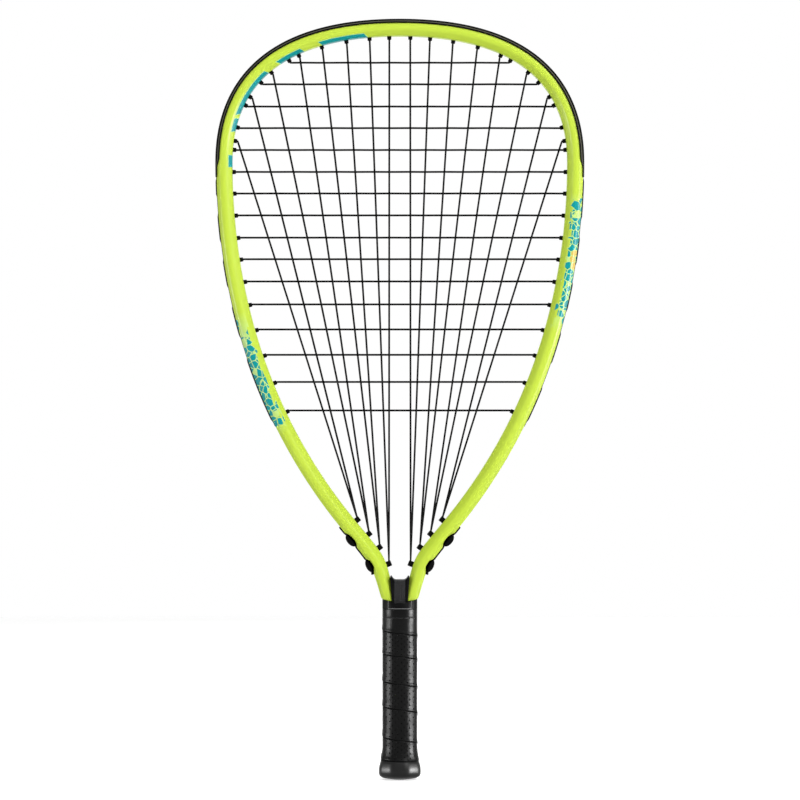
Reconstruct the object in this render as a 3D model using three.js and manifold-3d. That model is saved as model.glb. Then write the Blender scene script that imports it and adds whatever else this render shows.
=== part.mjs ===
// A racquetball racket in millimetres: +Z from butt to head, X across the head, Y square to the strings.
// The origin is the middle of the butt's flat face, and the front of the racket faces -Y.

import * as THREE from 'three';
import Module from 'manifold-3d';
import { mergeVertices } from 'three/addons/utils/BufferGeometryUtils.js';

const wasm = await Module();
wasm.setup();

// Whole racket
const RACKET_LENGTH = 558.8;
const HEAD_WIDTH = 269.1;
const NECK_HEIGHT = 132;
const NECK_HALF_GAP = 8.3;
const THROAT_RISE = 58;
const THROAT_HALF_GAP = 39.8;
const LEG_CURVE_LENGTH = 12;
const LEG_BOTTOM = 28;
const LEG_HALF_GAP = 0.8;
const THROAT_LEAN = THREE.MathUtils.degToRad(39);
const NECK_LEAN = THREE.MathUtils.degToRad(14);
const CLEARANCE = 0.3;
const OVERRUN = 2;

// The widest place, up from the throat to the top, and how far the outline's curves pull along their tangents
const widestShare = 0.71583;
const crownShare = 0.83;
const shoulderShare = 0.45;
const hipShare = 0.33;
const throatUpperShare = 0.4;
const throatLowerShare = 0.7;
const neckUpperShare = 0.585;
const neckLowerShare = 0.35;

// Frame tube
const TUBE_WIDTH = 11.5;
const TUBE_DEPTH = 22;
const TUBE_WALL = 1.1;
const BORE_BEVEL = 0.7;
const OUTER_BEVEL = 2.45;
const OUTER_BEVEL_DEPTH = 2.8;
const INNER_BEVEL = 4.15;
const INNER_BEVEL_DEPTH = 4.6;
const NECK_TUBE_WIDTH = 9.3;
const NECK_TAPER_LENGTH = 30;
const NECK_BEVEL = 2;
const LEG_OUTER_SIDE = 3.4;
const LEG_INNER_BEVEL = 1;
const FRAME_STEP = 17;
const LEG_STEP = 5;

// Recess that the grommet strips lie in
const RECESS_DEPTH = 3.25;
const RECESS_HALF_WIDTH = 7.9;
const STRIP_BASE = 0.8;
const STRIP_PROUD = 0.4;
const STRIP_END_GAP = 0.6;

// Crown strip, and the bumper guard over it, whose flaps draw back towards its two tails
const CROWN_CROSSES = 6;
const crownStripEndShare = 0.233;
const BUMPER_PROUD = 0.9;
const BUMPER_WALL = 0.95;
const BUMPER_BASE = 0.8;
const BUMPER_LAP = 3.8;
const BUMPER_LAP_LENGTH = 8.5;
const BUMPER_TAIL = 6;
const tailLapShare = 0.3;

// Strings and their grommets
const STRING_DIAMETER = 1.25;
const STRING_SIDES = 6;
const LANE_GAP = 0.35;
const STRING_TURN = 1.2;
const STRING_END = 6;
const LOOP_STEP = 12;
const BARREL_WIDTH = 3;
const BORE_SIDES = 4;
const NUB_HEIGHT = 2.5;
const TIP_BEND = 0.4;
const THROAT_BARREL_WIDTH = 3.7;
const THROAT_BARREL_WALL = 0.45;
const THROAT_NUB_HEIGHT = 3;
const FIRST_CROSS_DROP = 31.8;
const LAST_CROSS_RISE = 81.3;
const LANE_CHANGE_DROP = 4;

// Guards over the string loops
const GUARD_HEIGHT = 1;
const GUARD_HALF_WIDTH = 6;
const GUARD_SLOPE = 2;
const GUARD_STEP = 8;
const SIDE_STRIP_TAIL = 6;
const THROAT_STRIP_UPPER_TAIL = 4.1;
const THROAT_STRIP_LOWER_TAIL = 3.4;
const PULLEY_HALF_LENGTH = 5.5;
const PULLEY_RISE = 3.1;
const PULLEY_SEAT = 0.95;
const PULLEY_SIDES = 8;

// Handle
const HANDLE_WIDTH = 25.6;
const HANDLE_DEPTH = 29.5;
const HANDLE_BEVEL = 7.65;
const HANDLE_BEVEL_DEPTH = 5.75;
const WRAP_THICKNESS = 1.3;
const PALLET_SIDE_WALL = 0.9;
const PALLET_FACE_WALL = 2.25;
const PALLET_BOTTOM = 8.5;
const SLEEVE_TOP = 25;
const SLEEVE_WALL = 1.1;

// Grip wrap and collar
const WRAP_PITCH = 19;
const WRAP_OVERLAP = 3;
const WRAP_EDGE_THICKNESS = 0.5;
const WRAP_RIDGE = 0.3;
const WRAP_GROOVE = 0.4;
const COLLAR_HEIGHT = 6.3;

// Yoke between the legs, with its heights from the neck
const YOKE_SKIRT_DROP = 6.2;
const YOKE_SADDLE_RISE = 14.4;
const YOKE_SADDLE_HALF_WIDTH = 4.4;
const YOKE_PEAK_RISE = 17.9;
const YOKE_PEAK_HALF_WIDTH = 6;
const YOKE_SHOULDER_DROP = 0.9;
const YOKE_TOP_HALF_WIDTH = 7.05;
const YOKE_FOOT_HALF_WIDTH = 5.9;
const YOKE_PLATE = 0.9;

// Butt cap
const CAP_SHOULDER_HEIGHT = 14;
const CAP_FLOOR = 3.5;
const LANYARD_HOLE_WIDTH = 5;
const LANYARD_HOLE_LENGTH = 9;
const LANYARD_BRIDGE = 6;
const TACK_HEIGHT = 19;
const TACK_HEAD_DIAMETER = 3.2;
const TACK_HEAD_THICKNESS = 0.5;
const TACK_SHANK_DIAMETER = 1.2;
const TACK_LENGTH = 5;
const TACK_SIDES = 8;

// Heights of the cap's rings with their stand-out from the pallet, from the top down
const SLEEVE_RINGS = [
  { height: SLEEVE_TOP, proud: 0 },
  { height: 20, proud: 0.3 },
  { height: CAP_SHOULDER_HEIGHT, proud: 1.2 },
];
const CAP_RINGS = [
  { height: CAP_SHOULDER_HEIGHT, proud: 2.75 },
  { height: 10, proud: 3.6 },
  { height: 6.2, proud: 4.2 },
  { height: 3, proud: 3.9 },
  { height: 1, proud: 2.7 },
  { height: 0, proud: 0.9 },
];

// Places of the grommets, as shares of the stretch of frame that holds them
const mainHoleShares = [0.043, 0.124, 0.22, 0.325, 0.428, 0.567, 0.709, 0.911];
const crossHoleShares = [
  0, 0.062, 0.126, 0.188, 0.251, 0.314, 0.376, 0.439, 0.503, 0.565, 0.629, 0.695, 0.767, 0.84, 0.918, 1,
];
const throatHoleShares = [0.07, 0.27, 0.45, 0.63];
const pulleyShares = [0.2, 0.565];

// Sizes that follow from the ones above
const THROAT_HEIGHT = NECK_HEIGHT + THROAT_RISE;
const WIDEST_HEIGHT = THREE.MathUtils.lerp(THROAT_HEIGHT, RACKET_LENGTH, widestShare);
const FIRST_CROSS_HEIGHT = RACKET_LENGTH - FIRST_CROSS_DROP;
const LAST_CROSS_HEIGHT = THROAT_HEIGHT + LAST_CROSS_RISE;
const YOKE_BOTTOM = NECK_HEIGHT - YOKE_SKIRT_DROP;
const YOKE_SADDLE_HEIGHT = NECK_HEIGHT + YOKE_SADDLE_RISE;
const YOKE_PEAK_HEIGHT = NECK_HEIGHT + YOKE_PEAK_RISE;
const COLLAR_TOP = YOKE_BOTTOM - CLEARANCE;
const COLLAR_BOTTOM = COLLAR_TOP - COLLAR_HEIGHT;
const WRAP_TOP = COLLAR_BOTTOM - CLEARANCE;
const LANE = (STRING_DIAMETER + LANE_GAP) / 2;
const RECESS_FLOOR = TUBE_WIDTH / 2 - RECESS_DEPTH;
const STRIP_FOOT = RECESS_FLOOR + CLEARANCE;
const BUMPER_FOOT = STRIP_FOOT + STRIP_BASE + CLEARANCE;
const CHANNEL_FLOOR = BUMPER_FOOT + BUMPER_BASE;
const CHANNEL_CENTRE = CHANNEL_FLOOR + CLEARANCE + STRING_DIAMETER / 2;
const BORE_RADIUS = (STRING_DIAMETER / 2 + CLEARANCE) / Math.cos(Math.PI / BORE_SIDES);
const CHANNEL_HALF_WIDTH = LANE + STRING_DIAMETER / 2 + CLEARANCE;
const STRIP_HALF_WIDTH = RECESS_HALF_WIDTH - CLEARANCE;
const STRIP_TOP = TUBE_WIDTH / 2 + STRIP_PROUD;
const HANDLE_WALL = WRAP_THICKNESS + CLEARANCE;

// Outlines across the handle, seen from above
function octagon(halfWidth, halfDepth, bevel, bevelDepth) {
  const side = halfDepth - bevelDepth;
  const face = halfWidth - bevel;
  return [
    [halfWidth, -side], [halfWidth, side], [face, halfDepth], [-face, halfDepth],
    [-halfWidth, side], [-halfWidth, -side], [-face, -halfDepth], [face, -halfDepth],
  ];
}

// A convex anticlockwise ring with every side moved inwards by a distance
function insetRing(ring, distance) {
  const lines = ring.map(([x, y], index) => {
    const [nextX, nextY] = ring[(index + 1) % ring.length];
    const length = Math.hypot(nextX - x, nextY - y);
    const normal = [(y - nextY) / length, (nextX - x) / length];
    return { normal, reach: normal[0] * x + normal[1] * y + distance };
  });
  return lines.map((line, index) => {
    const before = lines[(index + lines.length - 1) % lines.length];
    const cross = before.normal[0] * line.normal[1] - before.normal[1] * line.normal[0];
    return [
      (before.reach * line.normal[1] - line.reach * before.normal[1]) / cross,
      (before.normal[0] * line.reach - line.normal[0] * before.reach) / cross,
    ];
  });
}

const handleRing = octagon(HANDLE_WIDTH / 2, HANDLE_DEPTH / 2, HANDLE_BEVEL, HANDLE_BEVEL_DEPTH);
const palletRing = insetRing(handleRing, HANDLE_WALL);
const legLimitRing = insetRing(palletRing, PALLET_SIDE_WALL + CLEARANCE);

// Half of the frame's centre line, from the crown down the right side to the foot of the leg
const legHalfGap = legLimitRing[0][0] - LEG_OUTER_SIDE;

function centreLine() {
  const crown = new THREE.Vector2(0, RACKET_LENGTH - BUMPER_PROUD - TUBE_WIDTH / 2);
  const widest = new THREE.Vector2((HEAD_WIDTH - TUBE_WIDTH) / 2, WIDEST_HEIGHT);
  const throat = new THREE.Vector2(THROAT_HALF_GAP, THROAT_HEIGHT);
  const neck = new THREE.Vector2(NECK_HALF_GAP, NECK_HEIGHT);
  const legTop = new THREE.Vector2(legHalfGap, NECK_HEIGHT - LEG_CURVE_LENGTH);
  const legFoot = new THREE.Vector2(legHalfGap, LEG_BOTTOM);
  const outward = new THREE.Vector2(1, 0);
  const upward = new THREE.Vector2(0, 1);
  const throatLine = new THREE.Vector2(Math.sin(THROAT_LEAN), Math.cos(THROAT_LEAN));
  const neckLine = new THREE.Vector2(Math.sin(NECK_LEAN), Math.cos(NECK_LEAN));
  const reach = (from, direction, length) => from.clone().addScaledVector(direction, length);
  const sideDrop = widest.y - throat.y;
  const throatDrop = throat.y - neck.y;
  const neckDrop = neck.y - legTop.y;
  const line = new THREE.CurvePath();
  line.add(new THREE.CubicBezierCurve(
    crown,
    reach(crown, outward, crownShare * widest.x),
    reach(widest, upward, shoulderShare * (crown.y - widest.y)),
    widest,
  ));
  line.add(new THREE.CubicBezierCurve(
    widest,
    reach(widest, upward, -hipShare * sideDrop),
    reach(throat, throatLine, throatUpperShare * sideDrop),
    throat,
  ));
  line.add(new THREE.CubicBezierCurve(
    throat,
    reach(throat, throatLine, -throatLowerShare * throatDrop),
    reach(neck, neckLine, neckUpperShare * throatDrop),
    neck,
  ));
  line.add(new THREE.CubicBezierCurve(
    neck,
    reach(neck, neckLine, -neckLowerShare * neckDrop),
    reach(legTop, upward, neckLowerShare * neckDrop),
    legTop,
  ));
  line.add(new THREE.LineCurve(legTop, legFoot));
  return line;
}

const hoop = centreLine();
const [widestArc, throatArc, neckArc, legArc, footArc] = hoop.getCurveLengths();

// A place on the frame: arc runs from the crown, negative to the left; out and across are square to it
function frameAt(arc) {
  const share = Math.min(Math.abs(arc) / footArc, 1);
  const side = arc < 0 ? -1 : 1;
  const centre = hoop.getPoint(share);
  const tangent = hoop.getTangent(share);
  return {
    centre: new THREE.Vector3(side * centre.x, 0, centre.y),
    along: new THREE.Vector3(tangent.x, 0, side * tangent.y),
    outward: new THREE.Vector3(-side * tangent.y, 0, tangent.x),
  };
}

function place(arc, out, across, along = 0) {
  const spot = frameAt(arc);
  return spot.centre
    .addScaledVector(spot.outward, out)
    .addScaledVector(spot.along, along)
    .add(new THREE.Vector3(0, across, 0));
}

// The arc at which a line beside the frame comes down to a height
function arcAtHeight(height, out) {
  let low = 0;
  let high = neckArc;
  for (let round = 0; round < 40; round += 1) {
    const middle = (low + high) / 2;
    if (place(middle, out, 0).z > height) {
      low = middle;
    } else {
      high = middle;
    }
  }
  return low;
}

// Arcs of the grommets and of the ends of the strips that hold them
const tipReach = TUBE_WIDTH / 2 + NUB_HEIGHT + TIP_BEND;
const throatTipReach = TUBE_WIDTH / 2 + THROAT_NUB_HEIGHT / 2;
const mainArcs = mainHoleShares.map((share) => share * widestArc);
const crossArcs = crossHoleShares.map((share) => (
  arcAtHeight(THREE.MathUtils.lerp(FIRST_CROSS_HEIGHT, LAST_CROSS_HEIGHT, share), -tipReach)
));
const throatArcs = throatHoleShares.map((share) => THREE.MathUtils.lerp(throatArc, neckArc, share));
const pulleyArcs = pulleyShares.map((share) => THREE.MathUtils.lerp(throatArc, neckArc, share));

const crownStripEnd = THREE.MathUtils.lerp(
  crossArcs[CROWN_CROSSES - 1],
  crossArcs[CROWN_CROSSES],
  crownStripEndShare,
);
const bumperTailStart = crownStripEnd - BUMPER_TAIL;
const bumperLapEnd = bumperTailStart - BUMPER_LAP_LENGTH;
const sideStripStart = crownStripEnd + STRIP_END_GAP;
const sideStripEnd = crossArcs[crossArcs.length - 1] + SIDE_STRIP_TAIL;
const throatStripStart = throatArcs[0] - THROAT_STRIP_UPPER_TAIL;
const throatStripEnd = throatArcs[throatArcs.length - 1] + THROAT_STRIP_LOWER_TAIL;

// Arcs at which the tube and all that lies along it have their rings
function spread(from, to, step) {
  const parts = Math.max(1, Math.ceil(Math.abs(to - from) / step));
  return Array.from({ length: parts + 1 }, (_, index) => from + ((to - from) * index) / parts);
}

const frameStops = [
  0, bumperLapEnd, bumperTailStart, sideStripStart, sideStripEnd,
  throatStripStart, neckArc - NECK_TAPER_LENGTH, throatStripEnd, neckArc - LEG_STEP,
].toSorted((a, b) => a - b);
const frameArcs = frameStops.slice(1).reduce(
  (arcs, stop, index) => [...arcs, ...spread(frameStops[index], stop, FRAME_STEP).slice(1)],
  [0],
);
const legArcs = [...spread(neckArc + LEG_STEP, legArc, LEG_STEP), footArc];

function arcsBetween(from, to) {
  const both = [...frameArcs.slice(1).map((arc) => -arc), ...frameArcs];
  const low = Math.min(from, to) + OVERRUN;
  const high = Math.max(from, to) - OVERRUN;
  const inside = both.filter((arc) => arc > low && arc < high);
  return [from, ...inside.toSorted((a, b) => (a - b) * Math.sign(to - from)), to];
}

// Solids and meshes
function faceOutward(geometry) {
  const position = geometry.attributes.position;
  const index = geometry.index.array;
  const corner = [0, 1, 2].map(() => new THREE.Vector3());
  let volume = 0;
  for (let face = 0; face < index.length; face += 3) {
    corner.forEach((point, offset) => point.fromBufferAttribute(position, index[face + offset]));
    volume += corner[0].dot(corner[1].clone().cross(corner[2]));
  }
  if (volume < 0) {
    for (let face = 0; face < index.length; face += 3) {
      [index[face], index[face + 1]] = [index[face + 1], index[face]];
    }
  }
  return geometry;
}

// A closed body through rings of points, with the flat outline used to close its two ends
function loft(rings, outline) {
  const count = outline.length;
  const position = rings.flat().flatMap((point) => [point.x, point.y, point.z]);
  const contour = outline.map(([x, y]) => new THREE.Vector2(x, y));
  const clockwise = THREE.ShapeUtils.isClockWise(contour);
  const cap = THREE.ShapeUtils.triangulateShape(contour, [])
    .map(([a, b, c]) => (clockwise ? [a, c, b] : [a, b, c]));
  const last = (rings.length - 1) * count;
  const index = [];
  for (let ring = 0; ring < rings.length - 1; ring += 1) {
    for (let corner = 0; corner < count; corner += 1) {
      const here = ring * count + corner;
      const beside = ring * count + ((corner + 1) % count);
      index.push(here, beside, here + count, beside, beside + count, here + count);
    }
  }
  cap.forEach(([a, b, c]) => index.push(a, c, b, last + a, last + b, last + c));
  const geometry = new THREE.BufferGeometry();
  geometry.setAttribute('position', new THREE.Float32BufferAttribute(position, 3));
  geometry.setIndex(index);
  return faceOutward(geometry);
}

function solidFrom(geometry) {
  const merged = mergeVertices(geometry);
  return new wasm.Manifold(new wasm.Mesh({
    numProp: 3,
    vertProperties: new Float32Array(merged.attributes.position.array),
    triVerts: new Uint32Array(merged.index.array),
  }));
}

function geometryFrom(solid) {
  const mesh = solid.getMesh();
  const geometry = new THREE.BufferGeometry();
  geometry.setAttribute('position', new THREE.BufferAttribute(mesh.vertProperties, 3));
  geometry.setIndex(new THREE.BufferAttribute(mesh.triVerts, 1));
  return geometry;
}

const joined = (solids) => solids.reduce((whole, solid) => whole.add(solid));
const cut = (solid, cutters) => cutters.reduce((rest, cutter) => rest.subtract(cutter), solid);

// An upright column over an outline seen from above
function column(ring, bottom, top) {
  const level = (height) => ring.map(([x, y]) => new THREE.Vector3(x, y, height));
  return solidFrom(loft([level(bottom), level(top)], ring));
}

// A plate over an outline seen from the front, reaching as far to both faces
function plate(outline, halfDepth) {
  const layer = (y) => outline.map(([x, z]) => new THREE.Vector3(x, y, z));
  return solidFrom(loft([layer(-halfDepth), layer(halfDepth)], outline));
}

function regularRing(radius, sides) {
  return Array.from({ length: sides }, (_, corner) => {
    const angle = ((corner + 0.5) / sides) * 2 * Math.PI;
    return [radius * Math.cos(angle), radius * Math.sin(angle)];
  });
}

function rectangle(lowX, highX, halfHeight) {
  return [[lowX, -halfHeight], [highX, -halfHeight], [highX, halfHeight], [lowX, halfHeight]];
}

// A body along the frame whose outline, out by across, may change with the arc
function sweep(outlineAt, arcs) {
  const rings = arcs.map((arc) => outlineAt(arc).map(([out, across]) => place(arc, out, across)));
  return solidFrom(loft(rings, outlineAt(arcs[0])));
}

// A peg square through the frame from one depth to another, its outline along by across
function peg(arc, outline, fromOut, toOut) {
  const level = (out) => outline.map(([along, across]) => place(arc, out, across, along));
  return solidFrom(loft([level(fromOut), level(toOut)], outline));
}

// A tube with mitred bends through a list of points
function tubeAlong(points, radius, sides) {
  const outline = regularRing(radius, sides);
  const direction = points.slice(1).map((point, index) => point.clone().sub(points[index]).normalize());
  const side = new THREE.Vector3(0, 1, 0);
  if (Math.abs(side.dot(direction[0])) > 0.9) {
    side.set(1, 0, 0);
  }
  side.addScaledVector(direction[0], -side.dot(direction[0])).normalize();
  const lift = direction[0].clone().cross(side);
  let spokes = outline.map(([a, b]) => side.clone().multiplyScalar(a).addScaledVector(lift, b));
  const rings = points.map((point, index) => {
    const before = direction[Math.max(index - 1, 0)];
    const after = direction[Math.min(index, direction.length - 1)];
    const mitre = before.clone().add(after).normalize();
    const mitred = spokes.map((spoke) => (
      spoke.clone().addScaledVector(before, -spoke.dot(mitre) / before.dot(mitre))
    ));
    spokes = mitred.map((spoke) => spoke.clone().addScaledVector(after, -spoke.dot(after)));
    return mitred.map((spoke) => spoke.clone().add(point));
  });
  return loft(rings, outline);
}

// Frame tube
const headTube = {
  outer: TUBE_WIDTH / 2,
  inner: TUBE_WIDTH / 2,
  depth: TUBE_DEPTH / 2,
  outerBevel: OUTER_BEVEL,
  outerBevelDepth: OUTER_BEVEL_DEPTH,
  innerBevel: INNER_BEVEL,
  innerBevelDepth: INNER_BEVEL_DEPTH,
};
const neckTube = {
  ...headTube,
  outer: NECK_TUBE_WIDTH / 2,
  inner: NECK_TUBE_WIDTH / 2,
  outerBevel: NECK_BEVEL,
  innerBevel: NECK_BEVEL,
};

function legTubeSizes() {
  const [side, face] = [legLimitRing[1], legLimitRing[2]];
  const depth = palletRing[2][1] - PALLET_FACE_WALL - CLEARANCE;
  const slope = (side[0] - face[0]) / (face[1] - side[1]);
  return {
    outer: LEG_OUTER_SIDE,
    inner: legHalfGap - LEG_HALF_GAP,
    depth,
    outerBevel: slope * (depth - side[1]),
    outerBevelDepth: depth - side[1],
    innerBevel: LEG_INNER_BEVEL,
    innerBevelDepth: LEG_INNER_BEVEL,
  };
}

const legTube = legTubeSizes();
const stepTube = {
  ...legTube,
  inner: neckTube.inner,
  innerBevel: neckTube.innerBevel,
  innerBevelDepth: neckTube.innerBevelDepth,
};

function tubeOutline(tube, grow) {
  const face = tube.outer - tube.outerBevel;
  const back = tube.innerBevel - tube.inner;
  const outerSide = tube.depth - tube.outerBevelDepth;
  const innerSide = tube.depth - tube.innerBevelDepth;
  return insetRing([
    [tube.outer, -outerSide], [tube.outer, outerSide], [face, tube.depth], [back, tube.depth],
    [-tube.inner, innerSide], [-tube.inner, -innerSide], [back, -tube.depth], [face, -tube.depth],
  ], -grow);
}

// Under the yoke's skirt the leg keeps the neck's inner side, and widens towards its twin below
function legTubeAt(arc) {
  return arc <= legArcs[0] ? stepTube : legTube;
}

function mixTubes(from, to, share) {
  const mixed = Object.keys(from).map((key) => [key, THREE.MathUtils.lerp(from[key], to[key], share)]);
  return Object.fromEntries(mixed);
}

function tubeAt(arc) {
  const share = (arc - (neckArc - NECK_TAPER_LENGTH)) / NECK_TAPER_LENGTH;
  return mixTubes(headTube, neckTube, THREE.MathUtils.clamp(share, 0, 1));
}

// The ring where the painted tube steps down into the yoke's skirt, on a plane that climbs outwards
function stepRing(tube, grow) {
  const spot = frameAt(neckArc);
  const normal = new THREE.Vector3(-Math.sin(NECK_LEAN), 0, Math.cos(NECK_LEAN));
  return tubeOutline(tube, grow).map(([out, across]) => {
    const offset = spot.outward.clone().multiplyScalar(out);
    const slide = -(offset.dot(normal) + grow) / spot.along.dot(normal);
    return spot.centre.clone().add(offset).addScaledVector(spot.along, slide)
      .add(new THREE.Vector3(0, across, 0));
  });
}

function mirrored(rings) {
  const flipped = rings.map((ring) => ring.map((point) => new THREE.Vector3(-point.x, point.y, point.z)));
  return [...flipped.reverse(), ...rings.slice(1)];
}

function hoopRings(grow) {
  const ringAt = (arc, tube) => tubeOutline(tube, grow).map(([out, across]) => place(arc, out, across));
  return mirrored([
    ...frameArcs.map((arc) => ringAt(arc, tubeAt(arc))),
    stepRing(neckTube, grow),
    stepRing(stepTube, grow),
    ...legArcs.map((arc) => ringAt(arc, legTubeAt(arc))),
  ]);
}

// The bore of the tube, kept clear of the recess and open at the foot of both legs
function boreRings() {
  const headBore = {
    ...headTube, outer: RECESS_FLOOR, outerBevel: BORE_BEVEL, outerBevelDepth: BORE_BEVEL,
  };
  const ringAt = (arc, tube) => tubeOutline(tube, -TUBE_WALL).map(([out, across]) => place(arc, out, across));
  const foot = ringAt(footArc, legTube);
  const below = foot.map((point) => point.clone().add(new THREE.Vector3(0, 0, -OVERRUN)));
  return mirrored([
    ...frameArcs.filter((arc) => arc <= neckArc - NECK_TAPER_LENGTH).map((arc) => ringAt(arc, headBore)),
    ...[frameArcs[frameArcs.length - 1], ...legArcs.slice(0, -1)].map((arc) => ringAt(arc, legTubeAt(arc))),
    below,
  ]);
}

// Grommets: the arc of each, its outline in its string's lane, and its reach inside the head
const sides = [-1, 1];
const barrelRing = rectangle(-BARREL_WIDTH / 2, BARREL_WIDTH / 2, BARREL_WIDTH / 2);
const throatBarrelRing = rectangle(
  -THROAT_BARREL_WIDTH / 2,
  THROAT_BARREL_WIDTH / 2,
  LANE + STRING_DIAMETER / 2 + CLEARANCE + THROAT_BARREL_WALL,
);

function grommets() {
  const shifted = (ring, lane) => ring.map(([along, across]) => [along, across + lane]);
  const row = (arcs, lane, ring, reach) => arcs.flatMap((arc) => sides.map((side) => (
    { arc: side * arc, ring: shifted(ring, lane), reach }
  )));
  return [
    ...row(mainArcs, -LANE, barrelRing, TUBE_WIDTH / 2 + NUB_HEIGHT),
    ...row(crossArcs, LANE, barrelRing, TUBE_WIDTH / 2 + NUB_HEIGHT),
    ...row(throatArcs, 0, throatBarrelRing, TUBE_WIDTH / 2 + THROAT_NUB_HEIGHT),
  ];
}

const allGrommets = grommets();

// A string's way through one grommet, from inside the head to the channel outside
function passPoints(hole, lane, turn, reach) {
  return [
    place(hole, -reach, lane),
    place(hole, CHANNEL_CENTRE - STRING_TURN, lane),
    place(hole + turn * STRING_TURN, CHANNEL_CENTRE, lane),
  ];
}

function loopPoints(from, to, lane) {
  const turn = Math.sign(to - from);
  const arcs = spread(from + turn * STRING_TURN, to - turn * STRING_TURN, LOOP_STEP);
  return arcs.slice(1, -1).map((arc) => place(arc, CHANNEL_CENTRE, lane));
}

// Each run of a string goes from a first to a second hole, and the loops join one run to the next
function threadString(runs) {
  const points = [];
  const passes = [];
  const loops = [];
  const channelEnd = (hole, turn) => hole + turn * STRING_END;
  runs.forEach((run, index) => {
    const before = runs[index - 1];
    const after = runs[index + 1];
    const inward = before ? Math.sign(before.to.arc - run.from.arc) : run.startTurn;
    const outward = after ? Math.sign(after.from.arc - run.to.arc) : run.endTurn;
    const entry = passPoints(run.from.arc, run.from.lane, inward, run.from.reach);
    const exit = passPoints(run.to.arc, run.to.lane, outward, run.to.reach);
    if (!before) {
      loops.push([run.from.arc, channelEnd(run.from.arc, inward)]);
      points.push(place(channelEnd(run.from.arc, inward), CHANNEL_CENTRE, run.from.lane));
    }
    const inside = run.between(entry[0], exit[0]);
    points.push(...entry.toReversed(), ...inside, ...exit);
    passes.push(
      { arc: run.from.arc, points: entry, leaves: inside[0] ?? exit[0] },
      { arc: run.to.arc, points: exit, leaves: inside[0] ?? entry[0] },
    );
    if (after) {
      loops.push([run.to.arc, after.from.arc]);
      points.push(...loopPoints(run.to.arc, after.from.arc, run.to.lane));
    } else {
      loops.push([run.to.arc, channelEnd(run.to.arc, outward)]);
      points.push(place(channelEnd(run.to.arc, outward), CHANNEL_CENTRE, run.to.lane));
    }
  });
  return { points, passes, loops };
}

// Main string: numbered from the middle outwards, two mains to each throat grommet
function mainRuns() {
  const top = (side, number) => ({ arc: side * mainArcs[number - 1], lane: -LANE, reach: tipReach });
  const throat = (side, number) => ({
    arc: side * throatArcs[throatArcs.length - Math.ceil(number / 2)],
    lane: number % 2 === 0 ? -LANE : LANE,
    reach: throatTipReach,
  });
  const changeHeight = LAST_CROSS_HEIGHT - LANE_CHANGE_DROP;
  const between = (start, end) => {
    const share = (changeHeight - start.z) / (end.z - start.z);
    const [upper, lower] = start.z > end.z ? [start, end] : [end, start];
    return upper.y === lower.y ? [] : [start.clone().lerp(end, share).setY(upper.y)];
  };
  const down = (side, number) => ({ from: top(side, number), to: throat(side, number), between });
  const up = (side, number) => ({ from: throat(side, number), to: top(side, number), between });
  const leftOrder = [[down, 8], [up, 6], [down, 7], [up, 5], [down, 4], [up, 2], [down, 3], [up, 1]];
  const rightOrder = [[down, 1], [up, 3], [down, 2], [up, 4], [down, 5], [up, 7], [down, 6], [up, 8]];
  const runs = [
    ...leftOrder.map(([way, number]) => way(-1, number)),
    ...rightOrder.map(([way, number]) => way(1, number)),
  ];
  runs[0].startTurn = -1;
  runs[runs.length - 1].endTurn = 1;
  return runs;
}

// Cross string: starts at the left of the top cross and runs to and fro down to the last one
function crossRuns() {
  const hole = (side, index) => ({ arc: side * crossArcs[index], lane: LANE, reach: tipReach });
  const runs = crossArcs.map((_, index) => {
    const side = index % 2 === 0 ? -1 : 1;
    return { from: hole(side, index), to: hole(-side, index), between: () => [] };
  });
  runs[0].startTurn = 1;
  runs[runs.length - 1].endTurn = -1;
  return runs;
}

const mainString = threadString(mainRuns());
const crossString = threadString(crossRuns());
const stringMesh = (string) => tubeAlong(string.points, STRING_DIAMETER / 2, STRING_SIDES);

// Grommet strips
const within = (arc, from, to) => arc > Math.min(from, to) && arc < Math.max(from, to);

function barrels(from, to) {
  return allGrommets
    .filter((grommet) => within(grommet.arc, from, to))
    .map((grommet) => peg(grommet.arc, grommet.ring, -grommet.reach, STRIP_FOOT + STRIP_BASE / 2));
}

function channel([from, to]) {
  const turn = Math.sign(to - from);
  const half = STRING_DIAMETER / 2 + CLEARANCE;
  const outline = rectangle(CHANNEL_FLOOR, CHANNEL_CENTRE + TUBE_WIDTH, CHANNEL_HALF_WIDTH);
  return sweep(() => outline, spread(from - turn * half, to + turn * half, LOOP_STEP));
}

// What the strings take out of the strip between two places
function stringCutters(from, to) {
  const margin = STRING_TURN + STRING_DIAMETER;
  const near = (arc) => within(arc, from - Math.sign(to - from) * margin, to + Math.sign(to - from) * margin);
  const passes = [...mainString.passes, ...crossString.passes].filter((pass) => near(pass.arc));
  const loops = [...mainString.loops, ...crossString.loops]
    .filter(([start, end]) => near(start) || near(end));
  const bores = passes.map((pass) => {
    const inward = pass.leaves.clone().sub(pass.points[0]).normalize();
    const mouth = pass.points[0].clone().addScaledVector(inward, THROAT_BARREL_WIDTH);
    return solidFrom(tubeAlong([mouth, ...pass.points], BORE_RADIUS, BORE_SIDES));
  });
  return [...bores, ...loops.map(channel)];
}

const stripOutline = rectangle(STRIP_FOOT, STRIP_TOP, STRIP_HALF_WIDTH);

// The crown's strip is low, so that the bumper guard fits over it in the recess
function crownStrip() {
  const outline = rectangle(STRIP_FOOT, STRIP_FOOT + STRIP_BASE, STRIP_HALF_WIDTH);
  const body = sweep(() => outline, arcsBetween(-crownStripEnd, crownStripEnd));
  const whole = joined([body, ...barrels(-crownStripEnd, crownStripEnd)]);
  return cut(whole, stringCutters(-crownStripEnd, crownStripEnd));
}

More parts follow.
